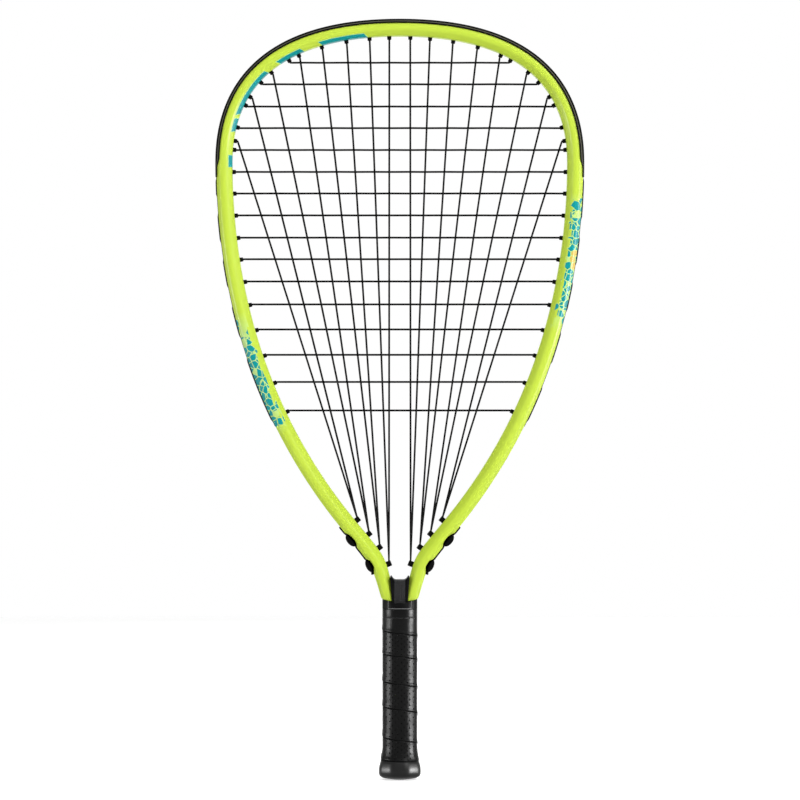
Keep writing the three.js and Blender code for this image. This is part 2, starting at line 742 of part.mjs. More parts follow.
// The bumper's outline: its foot in the recess, and flaps that lap over both bevels of the tube
function bumperOutline(arc) {
  const fullness = THREE.MathUtils.clamp((bumperTailStart - Math.abs(arc)) / BUMPER_LAP_LENGTH, 0, 1);
  const lapShare = THREE.MathUtils.lerp(tailLapShare, 1, fullness);
  const bevel = new THREE.Vector2(-OUTER_BEVEL, OUTER_BEVEL_DEPTH).normalize();
  const lip = new THREE.Vector2(TUBE_WIDTH / 2 + CLEARANCE, TUBE_DEPTH / 2 - OUTER_BEVEL_DEPTH);
  const edge = lip.clone().addScaledVector(bevel, BUMPER_LAP * lapShare);
  const skin = new THREE.Vector2(bevel.y, -bevel.x).multiplyScalar(BUMPER_WALL);
  const top = TUBE_WIDTH / 2 + BUMPER_PROUD;
  const half = [
    [BUMPER_FOOT, STRIP_HALF_WIDTH],
    [lip.x, STRIP_HALF_WIDTH],
    [lip.x, lip.y + CLEARANCE / 2],
    [edge.x + CLEARANCE / 2, edge.y + CLEARANCE / 2],
    [edge.x + skin.x, edge.y + skin.y],
    [top, lip.y + skin.y + CLEARANCE / 2],
  ];
  const lower = half.map(([out, across]) => [out, -across]);
  return [...lower, ...half.toReversed()];
}

function bumperGuard() {
  const body = sweep(bumperOutline, arcsBetween(-crownStripEnd, crownStripEnd));
  return cut(body, stringCutters(-crownStripEnd, crownStripEnd));
}

// Stretches of a side strip with a raised guard: its loops, from the strip's end down, and the tied end
function guardedStretches(side) {
  const first = sideStripStart + GUARD_SLOPE;
  const loops = crossString.loops.slice(1, -1)
    .filter(([start]) => start * side > 0)
    .map((loop) => loop.map(Math.abs))
    .filter(([, lower]) => lower > first);
  const tiedHole = crossString.loops[crossString.loops.length - 1][0];
  if (tiedHole * side > 0) {
    loops.push(crossArcs.slice(-2));
  }
  return loops.map(([upper, lower], index) => [side * (index ? upper : first), side * lower]);
}

// A raised guard beside one loop, sloping down at both ends
function loopGuard([from, to]) {
  const heights = new Map();
  const turn = Math.sign(to - from);
  heights.set(from - turn * GUARD_SLOPE, STRIP_TOP);
  spread(from, to, GUARD_STEP).forEach((arc) => heights.set(arc, TUBE_WIDTH / 2 + GUARD_HEIGHT));
  heights.set(to + turn * GUARD_SLOPE, STRIP_TOP);
  const outline = (arc) => rectangle(CHANNEL_FLOOR - STRIP_BASE / 2, heights.get(arc), GUARD_HALF_WIDTH);
  return sweep(outline, [...heights.keys()]);
}

function sideStrip(side) {
  const [from, to] = [side * sideStripStart, side * sideStripEnd];
  const body = sweep(() => stripOutline, arcsBetween(from, to));
  const guards = guardedStretches(side).map(loopGuard);
  return cut(joined([body, ...guards, ...barrels(from, to)]), stringCutters(from, to));
}

// A domed guard that the doubled loops pass under
function pulley(middle) {
  const seat = TUBE_WIDTH / 2 - PULLEY_SEAT;
  const arch = Array.from({ length: PULLEY_SIDES + 1 }, (_, corner) => {
    const angle = (corner / PULLEY_SIDES) * Math.PI;
    return [PULLEY_HALF_LENGTH * Math.cos(angle), seat + (PULLEY_SEAT + PULLEY_RISE) * Math.sin(angle)];
  });
  const layer = (across) => arch.map(([along, out]) => place(middle, out, across, along));
  return solidFrom(loft([layer(-STRIP_HALF_WIDTH), layer(STRIP_HALF_WIDTH)], arch));
}

function throatStrip(side) {
  const [from, to] = [side * throatStripStart, side * throatStripEnd];
  const body = sweep(() => stripOutline, arcsBetween(from, to));
  const pulleys = pulleyArcs.map((arc) => pulley(side * arc));
  return cut(joined([body, ...pulleys, ...barrels(from, to)]), stringCutters(from, to));
}

// The hairpin tube with its recess and grommet holes
function frame() {
  const tubeEnd = tubeOutline(legTube, 0);
  const body = solidFrom(loft(hoopRings(0), tubeEnd));
  const bore = solidFrom(loft(boreRings(), tubeEnd));
  const recessOutline = rectangle(RECESS_FLOOR, TUBE_WIDTH, RECESS_HALF_WIDTH);
  const recess = (from, to) => sweep(() => recessOutline, arcsBetween(from, to));
  const recesses = [
    recess(-sideStripEnd - CLEARANCE, sideStripEnd + CLEARANCE),
    recess(throatStripStart - CLEARANCE, throatStripEnd + CLEARANCE),
    recess(-throatStripStart + CLEARANCE, -throatStripEnd - CLEARANCE),
  ];
  const holes = allGrommets.map((grommet) => (
    peg(grommet.arc, insetRing(grommet.ring, -CLEARANCE), -grommet.reach, TUBE_WIDTH)
  ));
  return cut(body, [bore, ...recesses, ...holes]);
}

const roomForFrame = solidFrom(loft(hoopRings(CLEARANCE), tubeOutline(legTube, CLEARANCE)));

// Yoke: a skirt round both legs, with a saddle-topped web rising between them
function throatYoke() {
  const climb = Math.tan(NECK_LEAN);
  const drop = CLEARANCE / Math.cos(NECK_LEAN);
  const skirtHeight = (x) => NECK_HEIGHT - drop + (x - NECK_HALF_GAP) * climb;
  const edge = HANDLE_WIDTH / 2 + OVERRUN;
  const skirtOutline = [
    [-edge, YOKE_BOTTOM],
    [edge, YOKE_BOTTOM],
    [edge, skirtHeight(edge)],
    [YOKE_FOOT_HALF_WIDTH, skirtHeight(YOKE_FOOT_HALF_WIDTH)],
    [-YOKE_FOOT_HALF_WIDTH, skirtHeight(YOKE_FOOT_HALF_WIDTH)],
    [-edge, skirtHeight(edge)],
  ];
  const rightOfWeb = [
    [YOKE_FOOT_HALF_WIDTH, YOKE_BOTTOM],
    [YOKE_FOOT_HALF_WIDTH, skirtHeight(YOKE_FOOT_HALF_WIDTH)],
    [YOKE_TOP_HALF_WIDTH, YOKE_PEAK_HEIGHT - YOKE_SHOULDER_DROP],
    [YOKE_PEAK_HALF_WIDTH, YOKE_PEAK_HEIGHT],
    [YOKE_SADDLE_HALF_WIDTH, YOKE_SADDLE_HEIGHT],
  ];
  const webOutline = [...rightOfWeb, ...rightOfWeb.toReversed().map(([x, z]) => [-x, z])];
  const skirt = column(handleRing, YOKE_BOTTOM, YOKE_PEAK_HEIGHT)
    .intersect(plate(skirtOutline, HANDLE_DEPTH));
  const web = plate(webOutline, TUBE_DEPTH / 2 + CLEARANCE + YOKE_PLATE);
  return skirt.add(web).subtract(roomForFrame);
}

// Pallet halves: moulded shells round the legs, stepped in at the foot for the cap's sleeve
const plugRing = insetRing(palletRing, SLEEVE_WALL + CLEARANCE);

function halfRing(ring, side) {
  const near = side * (CLEARANCE / 2);
  const kept = ring.filter(([, y]) => y * side > 0);
  const order = kept.toSorted((a, b) => a[0] - b[0]);
  return [[order[0][0], near], ...order, [order[order.length - 1][0], near]];
}

function palletHalf(side) {
  const upper = column(halfRing(palletRing, side), SLEEVE_TOP + CLEARANCE, COLLAR_TOP);
  const lower = column(halfRing(plugRing, side), PALLET_BOTTOM, LEG_BOTTOM - CLEARANCE);
  return cut(upper.add(lower), [roomForFrame, tackRoom(side)]);
}

// How far the sleeve stands out from the pallet at a height
function capProud(height) {
  const index = SLEEVE_RINGS.findLastIndex((ring) => ring.height >= height);
  const upper = THREE.MathUtils.clamp(index, 0, SLEEVE_RINGS.length - 2);
  const [above, below] = [SLEEVE_RINGS[upper], SLEEVE_RINGS[upper + 1]];
  const share = Math.max(0, (above.height - height) / (above.height - below.height));
  return THREE.MathUtils.lerp(above.proud, below.proud, share);
}

// Butt cap: a flared cup with two openings for a wrist cord and a bridge between them
function buttCap() {
  const levels = [...SLEEVE_RINGS, ...CAP_RINGS].map(({ height, proud }) => (
    insetRing(palletRing, -proud).map(([x, y]) => new THREE.Vector3(x, y, height))
  ));
  const body = solidFrom(loft(levels, palletRing));
  const hollow = column(insetRing(palletRing, SLEEVE_WALL), CAP_FLOOR, SLEEVE_TOP + OVERRUN);
  const near = LANYARD_BRIDGE / 2;
  const opening = rectangle(near, near + LANYARD_HOLE_WIDTH, LANYARD_HOLE_LENGTH / 2);
  const openings = sides.map((side) => column(
    opening.map(([x, y]) => [side * x, side * y]),
    -OVERRUN,
    CAP_FLOOR + OVERRUN,
  ));
  return cut(body, [hollow, ...openings, ...sides.map(tackRoom)]);
}

// Tacks that hold the cap's sleeve to the pallet, front and back; the room for one is open on the outside
function tackShape(side, grow, overrun) {
  const face = side * (palletRing[2][1] + capProud(TACK_HEIGHT));
  const under = face - side * (TACK_HEAD_THICKNESS + grow);
  const tip = face - side * (TACK_LENGTH + grow);
  const top = face + side * overrun;
  const ringAt = (radius, y) => regularRing(radius, TACK_SIDES)
    .map(([x, z]) => new THREE.Vector3(x, y, TACK_HEIGHT + z));
  const head = TACK_HEAD_DIAMETER / 2 + grow;
  const shank = TACK_SHANK_DIAMETER / 2 + grow;
  const rings = [ringAt(shank, tip), ringAt(shank, under), ringAt(head, under), ringAt(head, top)];
  return loft(rings, regularRing(shank, TACK_SIDES));
}

function tackRoom(side) {
  return solidFrom(tackShape(side, CLEARANCE, OVERRUN));
}

// Grip wrap: one long strip wound up the handle, each turn lapping the thinned edge of the last
function gripWrap() {
  const width = WRAP_PITCH + WRAP_OVERLAP;
  const underLap = WRAP_EDGE_THICKNESS + CLEARANCE;
  const ridge = WRAP_THICKNESS + WRAP_RIDGE;
  const strip = [
    [underLap, 0],
    [ridge, 0],
    [WRAP_THICKNESS, WRAP_OVERLAP],
    [WRAP_THICKNESS, WRAP_PITCH - WRAP_GROOVE],
    [WRAP_EDGE_THICKNESS, WRAP_PITCH - WRAP_GROOVE / 2],
    [WRAP_EDGE_THICKNESS, width],
    [0, width],
    [0, WRAP_OVERLAP + CLEARANCE],
    [underLap, WRAP_OVERLAP],
  ];
  const turns = Math.ceil((WRAP_TOP - CAP_SHOULDER_HEIGHT + width) / WRAP_PITCH) + 1;
  const edges = palletRing.map(([x, y], corner) => {
    const [nextX, nextY] = palletRing[(corner + 1) % palletRing.length];
    return Math.hypot(nextX - x, nextY - y);
  });
  const girth = edges.reduce((sum, edge) => sum + edge);
  const rings = [];
  let travelled = 0;
  for (let station = 0; station <= turns * palletRing.length; station += 1) {
    const corner = station % palletRing.length;
    const base = WRAP_TOP + CLEARANCE - (WRAP_PITCH * travelled) / girth;
    rings.push(strip.map(([out, rise]) => {
      const proud = capProud(base + rise) + CLEARANCE + out;
      const [x, y] = insetRing(palletRing, -proud)[corner];
      return new THREE.Vector3(x, y, base + rise);
    }));
    travelled += edges[corner];
  }
  const slab = column(insetRing(handleRing, -OVERRUN), CAP_SHOULDER_HEIGHT + CLEARANCE, WRAP_TOP);
  return solidFrom(loft(rings, strip)).intersect(slab);
}

function gripCollar() {
  const hole = column(insetRing(palletRing, -CLEARANCE), COLLAR_BOTTOM - OVERRUN, COLLAR_TOP + OVERRUN);
  return column(handleRing, COLLAR_BOTTOM, COLLAR_TOP).subtract(hole);
}

// Materials and the finished group
const finish = {
  paint: { color: 0xc6ec3c, roughness: 0.3, metalness: 0 },
  guard: { color: 0x161618, roughness: 0.45, metalness: 0 },
  string: { color: 0x0e0e10, roughness: 0.35, metalness: 0 },
  pallet: { color: 0x2c2c2e, roughness: 0.6, metalness: 0 },
  wrap: { color: 0x1e1e20, roughness: 0.7, metalness: 0 },
  steel: { color: 0x9a9c9e, roughness: 0.35, metalness: 1 },
};

const subparts = {
  frame: ['paint', () => geometryFrom(frame())],
  bumper_guard: ['guard', () => geometryFrom(bumperGuard())],
  crown_grommet_strip: ['guard', () => geometryFrom(crownStrip())],
  side_grommet_strip_left: ['guard', () => geometryFrom(sideStrip(-1))],
  side_grommet_strip_right: ['guard', () => geometryFrom(sideStrip(1))],
  throat_grommet_strip_left: ['guard', () => geometryFrom(throatStrip(-1))],
  throat_grommet_strip_right: ['guard', () => geometryFrom(throatStrip(1))],
  main_string: ['string', () => stringMesh(mainString)],
  cross_string: ['string', () => stringMesh(crossString)],
  throat_yoke: ['guard', () => geometryFrom(throatYoke())],
  pallet_front: ['pallet', () => geometryFrom(palletHalf(-1))],
  pallet_back: ['pallet', () => geometryFrom(palletHalf(1))],
  grip_wrap: ['wrap', () => geometryFrom(gripWrap())],
  grip_collar: ['guard', () => geometryFrom(gripCollar())],
  butt_cap: ['guard', () => geometryFrom(buttCap())],
  butt_cap_tack_front: ['steel', () => tackShape(-1, 0, 0)],
  butt_cap_tack_back: ['steel', () => tackShape(1, 0, 0)],
};

const racket = new THREE.Group();
Object.entries(subparts).forEach(([name, [look, shape]]) => {
  const geometry = shape().toNonIndexed();
  geometry.computeVertexNormals();
  const mesh = new THREE.Mesh(geometry, new THREE.MeshStandardMaterial(finish[look]));
  mesh.name = name;
  racket.add(mesh);
});

export default racket;
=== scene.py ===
"""A racquetball racket dressed for rendering, in metres: +Z from butt to head, front towards -Y."""

import bisect
import math

import bmesh
import bpy
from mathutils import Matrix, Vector, noise


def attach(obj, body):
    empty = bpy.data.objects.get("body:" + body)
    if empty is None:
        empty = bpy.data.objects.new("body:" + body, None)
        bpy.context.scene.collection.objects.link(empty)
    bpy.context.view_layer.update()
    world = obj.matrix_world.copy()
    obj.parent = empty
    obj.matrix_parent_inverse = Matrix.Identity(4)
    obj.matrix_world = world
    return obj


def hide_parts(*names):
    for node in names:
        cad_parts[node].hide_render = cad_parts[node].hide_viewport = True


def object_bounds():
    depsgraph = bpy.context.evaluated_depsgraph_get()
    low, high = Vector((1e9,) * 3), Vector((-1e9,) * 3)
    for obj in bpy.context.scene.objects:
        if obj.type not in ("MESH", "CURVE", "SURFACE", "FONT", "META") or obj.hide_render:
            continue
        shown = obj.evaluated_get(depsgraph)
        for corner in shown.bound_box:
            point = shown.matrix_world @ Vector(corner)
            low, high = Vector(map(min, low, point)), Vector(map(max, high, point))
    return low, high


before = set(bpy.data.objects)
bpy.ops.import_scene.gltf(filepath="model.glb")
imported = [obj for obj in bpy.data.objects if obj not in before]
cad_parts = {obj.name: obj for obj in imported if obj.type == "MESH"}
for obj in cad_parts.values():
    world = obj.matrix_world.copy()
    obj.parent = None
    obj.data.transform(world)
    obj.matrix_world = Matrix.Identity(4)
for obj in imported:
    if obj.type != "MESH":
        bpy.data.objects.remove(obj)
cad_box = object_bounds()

# Whole racket
RACKET_LENGTH = cad_box[1].z
HEAD_WIDTH = 0.2691
THROAT_HEIGHT = 0.190
THROAT_HALF_GAP = 0.0398
NECK_HEIGHT = 0.132
NECK_HALF_GAP = 0.0083
LEG_STRAIGHT_TOP = 0.120
LEG_BOTTOM = 0.028
LEG_HALF_GAP = 0.0066
THROAT_LEAN = math.radians(39)
NECK_LEAN = math.radians(14)
CLEARANCE = 0.0003

# Height of the widest place above the throat, and how far the centre line's curves pull at their ends
widest_share = 0.71583
crown_share = 0.83
shoulder_share = 0.45
hip_share = 0.33
throat_upper_share = 0.4
throat_lower_share = 0.7
neck_upper_share = 0.585
neck_lower_share = 0.35

# Fineness of curves and corners
CURVE_SAMPLES = 400
HALVINGS = 40
CORNER_STEPS = 3
FINE_STEPS = 4
HANDLE_STEPS = 5
CREASE = math.radians(40)
NEARLY_STRAIGHT = math.radians(172)
corner_share = 0.48
bend_share = 0.45

# Frame tube
TUBE_WIDTH = 0.0115
TUBE_DEPTH = 0.022
OUTER_BEVEL = 0.00245
OUTER_BEVEL_DEPTH = 0.0028
INNER_BEVEL = 0.00415
INNER_BEVEL_DEPTH = 0.0046
NECK_TUBE_WIDTH = 0.0093
NECK_TAPER_LENGTH = 0.030
NECK_BEVEL = 0.002
LEG_OUTER = 0.0034
LEG_INNER = 0.0058
LEG_DEPTH = 0.0103
TUBE_STEP = 0.003
SIDE_ROUND = 0.0011
OUTER_ROUND = 0.0008
INNER_ROUND = 0.0013
FACE_ARCH = 0.0005
ARCH_ROUND = 0.0012
RIM_ROUND = 0.00015
PAINT_EDGE = 0.0004

# Recess and what lies in it
RECESS_DEPTH = 0.00325
LEAST_RECESS = 0.000015
RECESS_HALF_WIDTH = 0.0079
STRIP_BASE = 0.0008
STRIP_PROUD = 0.0004
STRIP_END_GAP = 0.0006
STRIP_END_ROUND = 0.0004
CROWN_CROSSES = 6
CROWN_STRIP_EDGE = 0.0003
crown_strip_end_share = 0.233
GROOVE_HALF_WIDTH = 0.0019
SIDE_STRIP_TAIL = 0.006
GUARD_HEIGHT = 0.001
GUARD_HALF_WIDTH = 0.006
GUARD_SHOULDER_DROP = 0.0001
GUARD_SLOPE = 0.0025
GUARD_EDGE = 0.0005
THROAT_UPPER_TAIL = 0.0041
THROAT_LOWER_TAIL = 0.0034
THROAT_PROUD = 0.0011
THROAT_LOWER_PROUD = 0.0016
THROAT_STRIP_EDGE = 0.0004
SCALLOP_DEPTH = 0.0021
SCALLOP_LENGTH = 0.0145
SCALLOP_SLOPE = 1.6

# Bumper, with the roundings of its corners from the foot out over the flap to the groove
BUMPER_PROUD = 0.00087
BUMPER_WALL = 0.00095
BUMPER_BASE = 0.0008
BUMPER_LAP = 0.0037
BUMPER_LAP_LENGTH = 0.0085
BUMPER_TAIL = 0.006
BUMPER_RIDGE = 0.00015
BUMPER_BEAD_CORNER = 6
BUMPER_RADII = (0.0002, 0.0001, 0.0001, 0.0003, 0.0004, 0.0002, 0.0002, 0.0002, 0.0009, 0.0005, 0.0002)
tail_lap_share = 0.3
bead_share = 0.4
rim_share = 0.45

# Half-round guards at the throat: their edge's shares are inwards from the side, then off the top
PULLEY_HALF_LENGTH = 0.0055
PULLEY_RISE = 0.0031
PULLEY_SEAT = 0.00095
PULLEY_EDGE = 0.0006
PULLEY_STEPS = 14
DOME_POWER = 0.8
pulley_edge_shares = ((0.0, 1.0), (0.12, 0.35), (0.4, 0.1), (1.0, 0.0))

# Strings and grommets
STRING_RADIUS = 0.00073
STRING_SIDES = 10
LANE = 0.0008
WEAVE = 0.00075
WEAVE_STEPS = 4
STRING_TURN = 0.0012
STRING_END = 0.006
STRING_BEND = 0.0016
LOOP_STEP = 0.006
BARREL_WIDTH = 0.0032
NUB_TAPER = 0.0001
NUB_HEIGHT = 0.0025
THROAT_BARREL_WIDTH = 0.0041
THROAT_BARREL_DEPTH = 0.0044
THROAT_NUB_HEIGHT = 0.0035
TIP_BEND = 0.0004
NUB_EDGE = 0.0003
MOUTH_RADIUS = 0.00085
MOUTH_DEPTH = 0.001
FIRST_CROSS_HEIGHT = 0.527
LAST_CROSS_HEIGHT = 0.2713
main_hole_shares = (0.043, 0.124, 0.22, 0.325, 0.428, 0.567, 0.709, 0.911)
cross_hole_shares = (
    0, 0.062, 0.126, 0.188, 0.251, 0.314, 0.376, 0.439,
    0.503, 0.565, 0.629, 0.695, 0.767, 0.84, 0.918, 1,
)
throat_hole_shares = (0.07, 0.27, 0.45, 0.63)
pulley_shares = (0.2, 0.565)
least_crossing_share = 0.01

# The mains of each half in the order of stringing: 1 to go down or 0 to go up, and the main's number
LEFT_MAINS = ((1, 8), (0, 6), (1, 7), (0, 5), (1, 4), (0, 2), (1, 3), (0, 1))
RIGHT_MAINS = ((1, 1), (0, 3), (1, 2), (0, 4), (1, 5), (0, 7), (1, 6), (0, 8))

# Handle
HANDLE_WIDTH = 0.0256
HANDLE_DEPTH = 0.0295
HANDLE_BEVEL = 0.00765
HANDLE_BEVEL_DEPTH = 0.00575
HANDLE_ROUND = 0.0042
PALLET_PROBE = 0.002
WRAP_THICKNESS = 0.0013
WRAP_OVERLAP = 0.003
WRAP_UNDER = 0.0008
WRAP_EDGE = 0.0005
WRAP_RIDGE = 0.0003
WRAP_GROOVE = 0.00035
WRAP_ROUND = 0.00025
WRAP_SHOULDER = 0.000625
WRAP_SWELL = 0.00012
WRAP_SWELL_SIZE = 0.007
WRAP_TOP = 0.1189
WRAP_BOTTOM = 0.0143
HOLE_COLUMNS = 40
HOLE_ROWS = 8
HOLE_MARGIN = 0.0018
FIRST_PIERCED_TURN = 2.5
HOLE_RADIUS = 0.00045
HOLE_DEPTH = 0.0005
COLLAR_HEIGHT = 0.0063
COLLAR_ROUND = 0.0003
SLEEVE_WALL = 0.0011
SLEEVE_TOP = 0.025
SLEEVE_FLARE = 0.00135
FLARE_POWER = 1.6
hole_point_shares = (-1, -0.6, 0, 0.6, 1)
wrap_corner_share = 0.3

# Heights of the wrap's lower edge at the middle of the front, turn by turn, and how level it runs there
LAP_HEIGHTS = (0.146, 0.127, 0.108, 0.0911, 0.0706, 0.0522, 0.0295, 0.0141, -0.006)
level_share = 0.42

# Butt cap: heights with their stand-out from the pallet, down to the domed end, which draws in
CAP_RINGS = (
    (0.0142, 0.0022), (0.0138, 0.00275), (0.012, 0.0033), (0.010, 0.00385), (0.008, 0.00415),
    (0.0062, 0.0042), (0.0046, 0.0041), (0.0032, 0.0035), (0.0021, 0.0022), (0.0014, 0.0005),
    (0.0009, -0.002), (0.0004, -0.005), (0.0, -0.0085),
)
CAP_FLOOR = 0.0035
CAP_ROUND = 0.003
LANYARD_WIDTH = 0.005
LANYARD_LENGTH = 0.009
LANYARD_BRIDGE = 0.006
LANYARD_ROUND = 0.0015

# Yoke
YOKE_BOTTOM = 0.1258
YOKE_SADDLE_HEIGHT = 0.1464
YOKE_SADDLE_HALF_WIDTH = 0.0042
YOKE_PEAK_HEIGHT = 0.1499
YOKE_PEAK_HALF_WIDTH = 0.0063
YOKE_SHOULDER_DROP = 0.0009
YOKE_TOP_HALF_WIDTH = 0.00705
YOKE_FOOT_HALF_WIDTH = 0.0059
YOKE_FRONT = 0.0122
YOKE_ROUND = 0.0005
YOKE_SHOULDER_ROUND = 0.0016
YOKE_SADDLE_ROUND = 0.0018
YOKE_FOOT_INSET = 0.0008
YOKE_FOOT_DROP = 0.00025
YOKE_BORDER = 0.0019
YOKE_PANEL_DEPTH = 0.0005
YOKE_RIBS = 5
YOKE_RIB_HALF_WIDTH = 0.0003
YOKE_RIB_HEIGHT = 0.00025
SEAM_PLACE = 0.0085
SEAM_HALF_WIDTH = 0.0002
SEAM_HEIGHT = 0.0002
ridge_end_share = 0.4

# Camera: the photograph's frame is 800 pixels, and the racket fills these rows of it
IMAGE_WIDTH = 800
TOP_ROW = 18.7
BOTTOM_ROW = 780.2
MIDDLE_COLUMN = 399.8
CAMERA_DISTANCE = 4.0
OUTLINE_DEPTH = 0.0085
SENSOR_WIDTH = 36.0

# Lamps: place, width and height, watts, whether matt and glossy surfaces see it, and the height it aims at
LAMPS = {
    "key": ((1.1, -1.7, 1.5), (1.2, 1.2), 33.5, True, True, 0.3),
    "fill": ((-1.5, -1.6, 0.7), (1.2, 1.4), 3.5, True, False, 0.3),
    "top": ((0.1, 0.4, 1.8), (1.2, 0.8), 2, True, True, 0.3),
    "back": ((-0.9, 1.9, 1.3), (1.2, 1.2), 22, True, False, 0.3),
    "side_right": ((0.9, -0.35, 0.3), (0.3, 0.5), 0.5, True, False, 0.3),
    "gloss_right": ((1.5, -0.58, 0.12), (0.4, 0.22), 60, False, True, 0.1),
    "gloss_left": ((-1.5, -0.58, 0.12), (0.4, 0.22), 26, False, True, 0.1),
}
WORLD_LIGHT = 0.32
FLOOR_HALF = 3.0
FLOOR_GLOW = 0.6

# Painted stripes, as pixels of the photograph at their two ends
STRIPE_ENDS = (
    ((365, 33), (320, 43)), ((302, 50), (279, 63)), ((266, 72), (235, 113)),
    ((238, 119), (232, 131)), ((232, 155.5), (228, 167)),
)
STRIPE_SLANTS = (0.9, 0.9, 0.7, 0.4, 0.0)
STRIPE_WIDTH = 0.0026
STRIPE_MIDDLE = 0.0045
FRINGE = 0.0004

# Bands of painted tiles on the outer half of the tube, as pixels at their two ends
BAND_ENDS = (((240, 312), (286, 432)), ((577.5, 193), (552, 331)))
BAND_LOW = -0.003
BAND_RAGGED = 0.0035
BAND_FADE = 0.02
TILE_SIZE = 0.0046
TILE_JOINT = 0.06
tile_share = 0.95
amber_share = 0.965
ground_share = 0.75

# Colours, as display values from 0 to 255: two of one name are mixed
LIMES = (199, 227, 62), (208, 234, 80)
TEALS = (0, 144, 146), (6, 168, 172)
STRIPE_FRINGE = (172, 232, 160)
BAND_GROUND = (198, 238, 158)
AMBER = (228, 196, 92)
# Dull greys of a painted highlight along the bumper's bead
BEAD_HIGHLIGHT_GREYS = (72, 72, 60), (108, 108, 94)
PANEL_GREYS = (30, 30, 31), (66, 66, 67)
# A pale grey for painted highlights on the yoke's seams and along its skirt's foot
PAINTED_HIGHLIGHT_GREY = (128, 128, 128)
# Painted shade for the grip's perforations
HOLE_SHADE = (2, 2, 2)
STEELS = (150, 150, 152), (176, 176, 178)
FOAMS = (60, 60, 62), (88, 88, 90)

METRES_PER_PIXEL = RACKET_LENGTH / (BOTTOM_ROW - TOP_ROW)
WIDEST_HEIGHT = THROAT_HEIGHT + (RACKET_LENGTH - THROAT_HEIGHT) * widest_share
RECESS_FLOOR = TUBE_WIDTH / 2 - RECESS_DEPTH
STRIP_FOOT = RECESS_FLOOR + CLEARANCE
BUMPER_FOOT = STRIP_FOOT + STRIP_BASE + CLEARANCE
CHANNEL_FLOOR = BUMPER_FOOT + BUMPER_BASE
CHANNEL_CENTRE = CHANNEL_FLOOR + CLEARANCE + STRING_RADIUS
STRIP_HALF_WIDTH = RECESS_HALF_WIDTH - CLEARANCE
STRIP_TOP = TUBE_WIDTH / 2 + STRIP_PROUD


def lerp(first, second, share):
    return first + (second - first) * share


def clamp(value, low=0.0, high=1.0):
    return max(low, min(high, value))


def ease(share):
    """A smooth climb from 0 to 1."""
    share = clamp(share)
    return share * share * (3 - 2 * share)


# Centre line of the frame, from the crown down the right side to the foot of the leg

def cubic(a, leaving, arriving, d):
    """A curve from a to d with a pull at each end, as a function that gives its point and its direction."""
    b = a + leaving
    c = d + arriving

    def at(t):
        s = 1 - t
        point = a * s**3 + b * (3 * s * s * t) + c * (3 * s * t * t) + d * t**3
        slope = (b - a) * (s * s) + (c - b) * (2 * s * t) + (d - c) * (t * t)
        return point, slope.normalized()
    return at


def centre_curves():
    crown = Vector((0, RACKET_LENGTH - BUMPER_PROUD - TUBE_WIDTH / 2))
    widest = Vector(((HEAD_WIDTH - TUBE_WIDTH) / 2, WIDEST_HEIGHT))
    throat = Vector((THROAT_HALF_GAP, THROAT_HEIGHT))
    neck = Vector((NECK_HALF_GAP, NECK_HEIGHT))
    leg_top = Vector((LEG_HALF_GAP, LEG_STRAIGHT_TOP))
    leg_foot = Vector((LEG_HALF_GAP, LEG_BOTTOM))
    out = Vector((1, 0))
    up = Vector((0, 1))
    throat_line = Vector((math.sin(THROAT_LEAN), math.cos(THROAT_LEAN)))
    neck_line = Vector((math.sin(NECK_LEAN), math.cos(NECK_LEAN)))
    side = widest.y - throat.y
    flare = throat.y - neck.y
    waist = neck.y - leg_top.y
    return (
        cubic(crown, out * crown_share * widest.x, up * shoulder_share * (crown.y - widest.y), widest),
        cubic(widest, -up * hip_share * side, throat_line * throat_upper_share * side, throat),
        cubic(throat, -throat_line * throat_lower_share * flare, neck_line * neck_upper_share * flare, neck),
        cubic(neck, -neck_line * neck_lower_share * waist, up * neck_lower_share * waist, leg_top),
        cubic(leg_top, (leg_foot - leg_top) / 3, (leg_top - leg_foot) / 3, leg_foot),
    )


def measure_hoop():
    """The centre line's samples with their arc lengths, and the arc at which each curve ends."""
    samples = []
    arcs = []
    ends = []
    for curve in centre_curves():
        for step in range(CURVE_SAMPLES + 1):
            point, slope = curve(step / CURVE_SAMPLES)
            arcs.append(arcs[-1] + (point - samples[-1][0]).length if arcs else 0)
            samples.append((point, slope))
        ends.append(arcs[-1])
    return samples, arcs, ends


hoop_samples, hoop_arcs, (widest_arc, throat_arc, neck_arc, leg_arc, foot_arc) = measure_hoop()


def frame_at(arc):
    """Centre, direction along and direction outward; the arc runs from the crown, negative to the left."""
    side = -1 if arc < 0 else 1
    reach = clamp(abs(arc), 0, foot_arc)
    index = clamp(bisect.bisect_right(hoop_arcs, reach), 1, len(hoop_arcs) - 1)
    span = hoop_arcs[index] - hoop_arcs[index - 1]
    share = (reach - hoop_arcs[index - 1]) / span if span else 0
    point = hoop_samples[index - 1][0].lerp(hoop_samples[index][0], share)
    slope = hoop_samples[index - 1][1].lerp(hoop_samples[index][1], share).normalized()
    return (
        Vector((side * point.x, 0, point.y)),
        Vector((slope.x, 0, side * slope.y)),
        Vector((-side * slope.y, 0, slope.x)),
    )


def place(arc, out, across, along=0.0):
    centre, direction, outward = frame_at(arc)
    return centre + outward * out + direction * along + Vector((0, across, 0))


def ring_at(arc, outline):
    """An outline of (out, across), set square to the centre line."""
    return [place(arc, out, across) for out, across in outline]


def arc_at_height(height, out):
    """The arc at which a line beside the frame comes down to a height."""
    low, high = 0, neck_arc
    for _ in range(HALVINGS):
        middle = (low + high) / 2
        if place(middle, out, 0).z > height:
            low = middle
        else:
            high = middle
    return low


def arc_at_pixel(pixel):
    """The arc of the frame nearest to a pixel of the photograph."""
    x = (pixel[0] - MIDDLE_COLUMN) * METRES_PER_PIXEL
    spot = Vector((abs(x), (BOTTOM_ROW - pixel[1]) * METRES_PER_PIXEL))
    nearest = min(range(len(hoop_samples)), key=lambda index: (hoop_samples[index][0] - spot).length)
    return math.copysign(hoop_arcs[nearest], x)


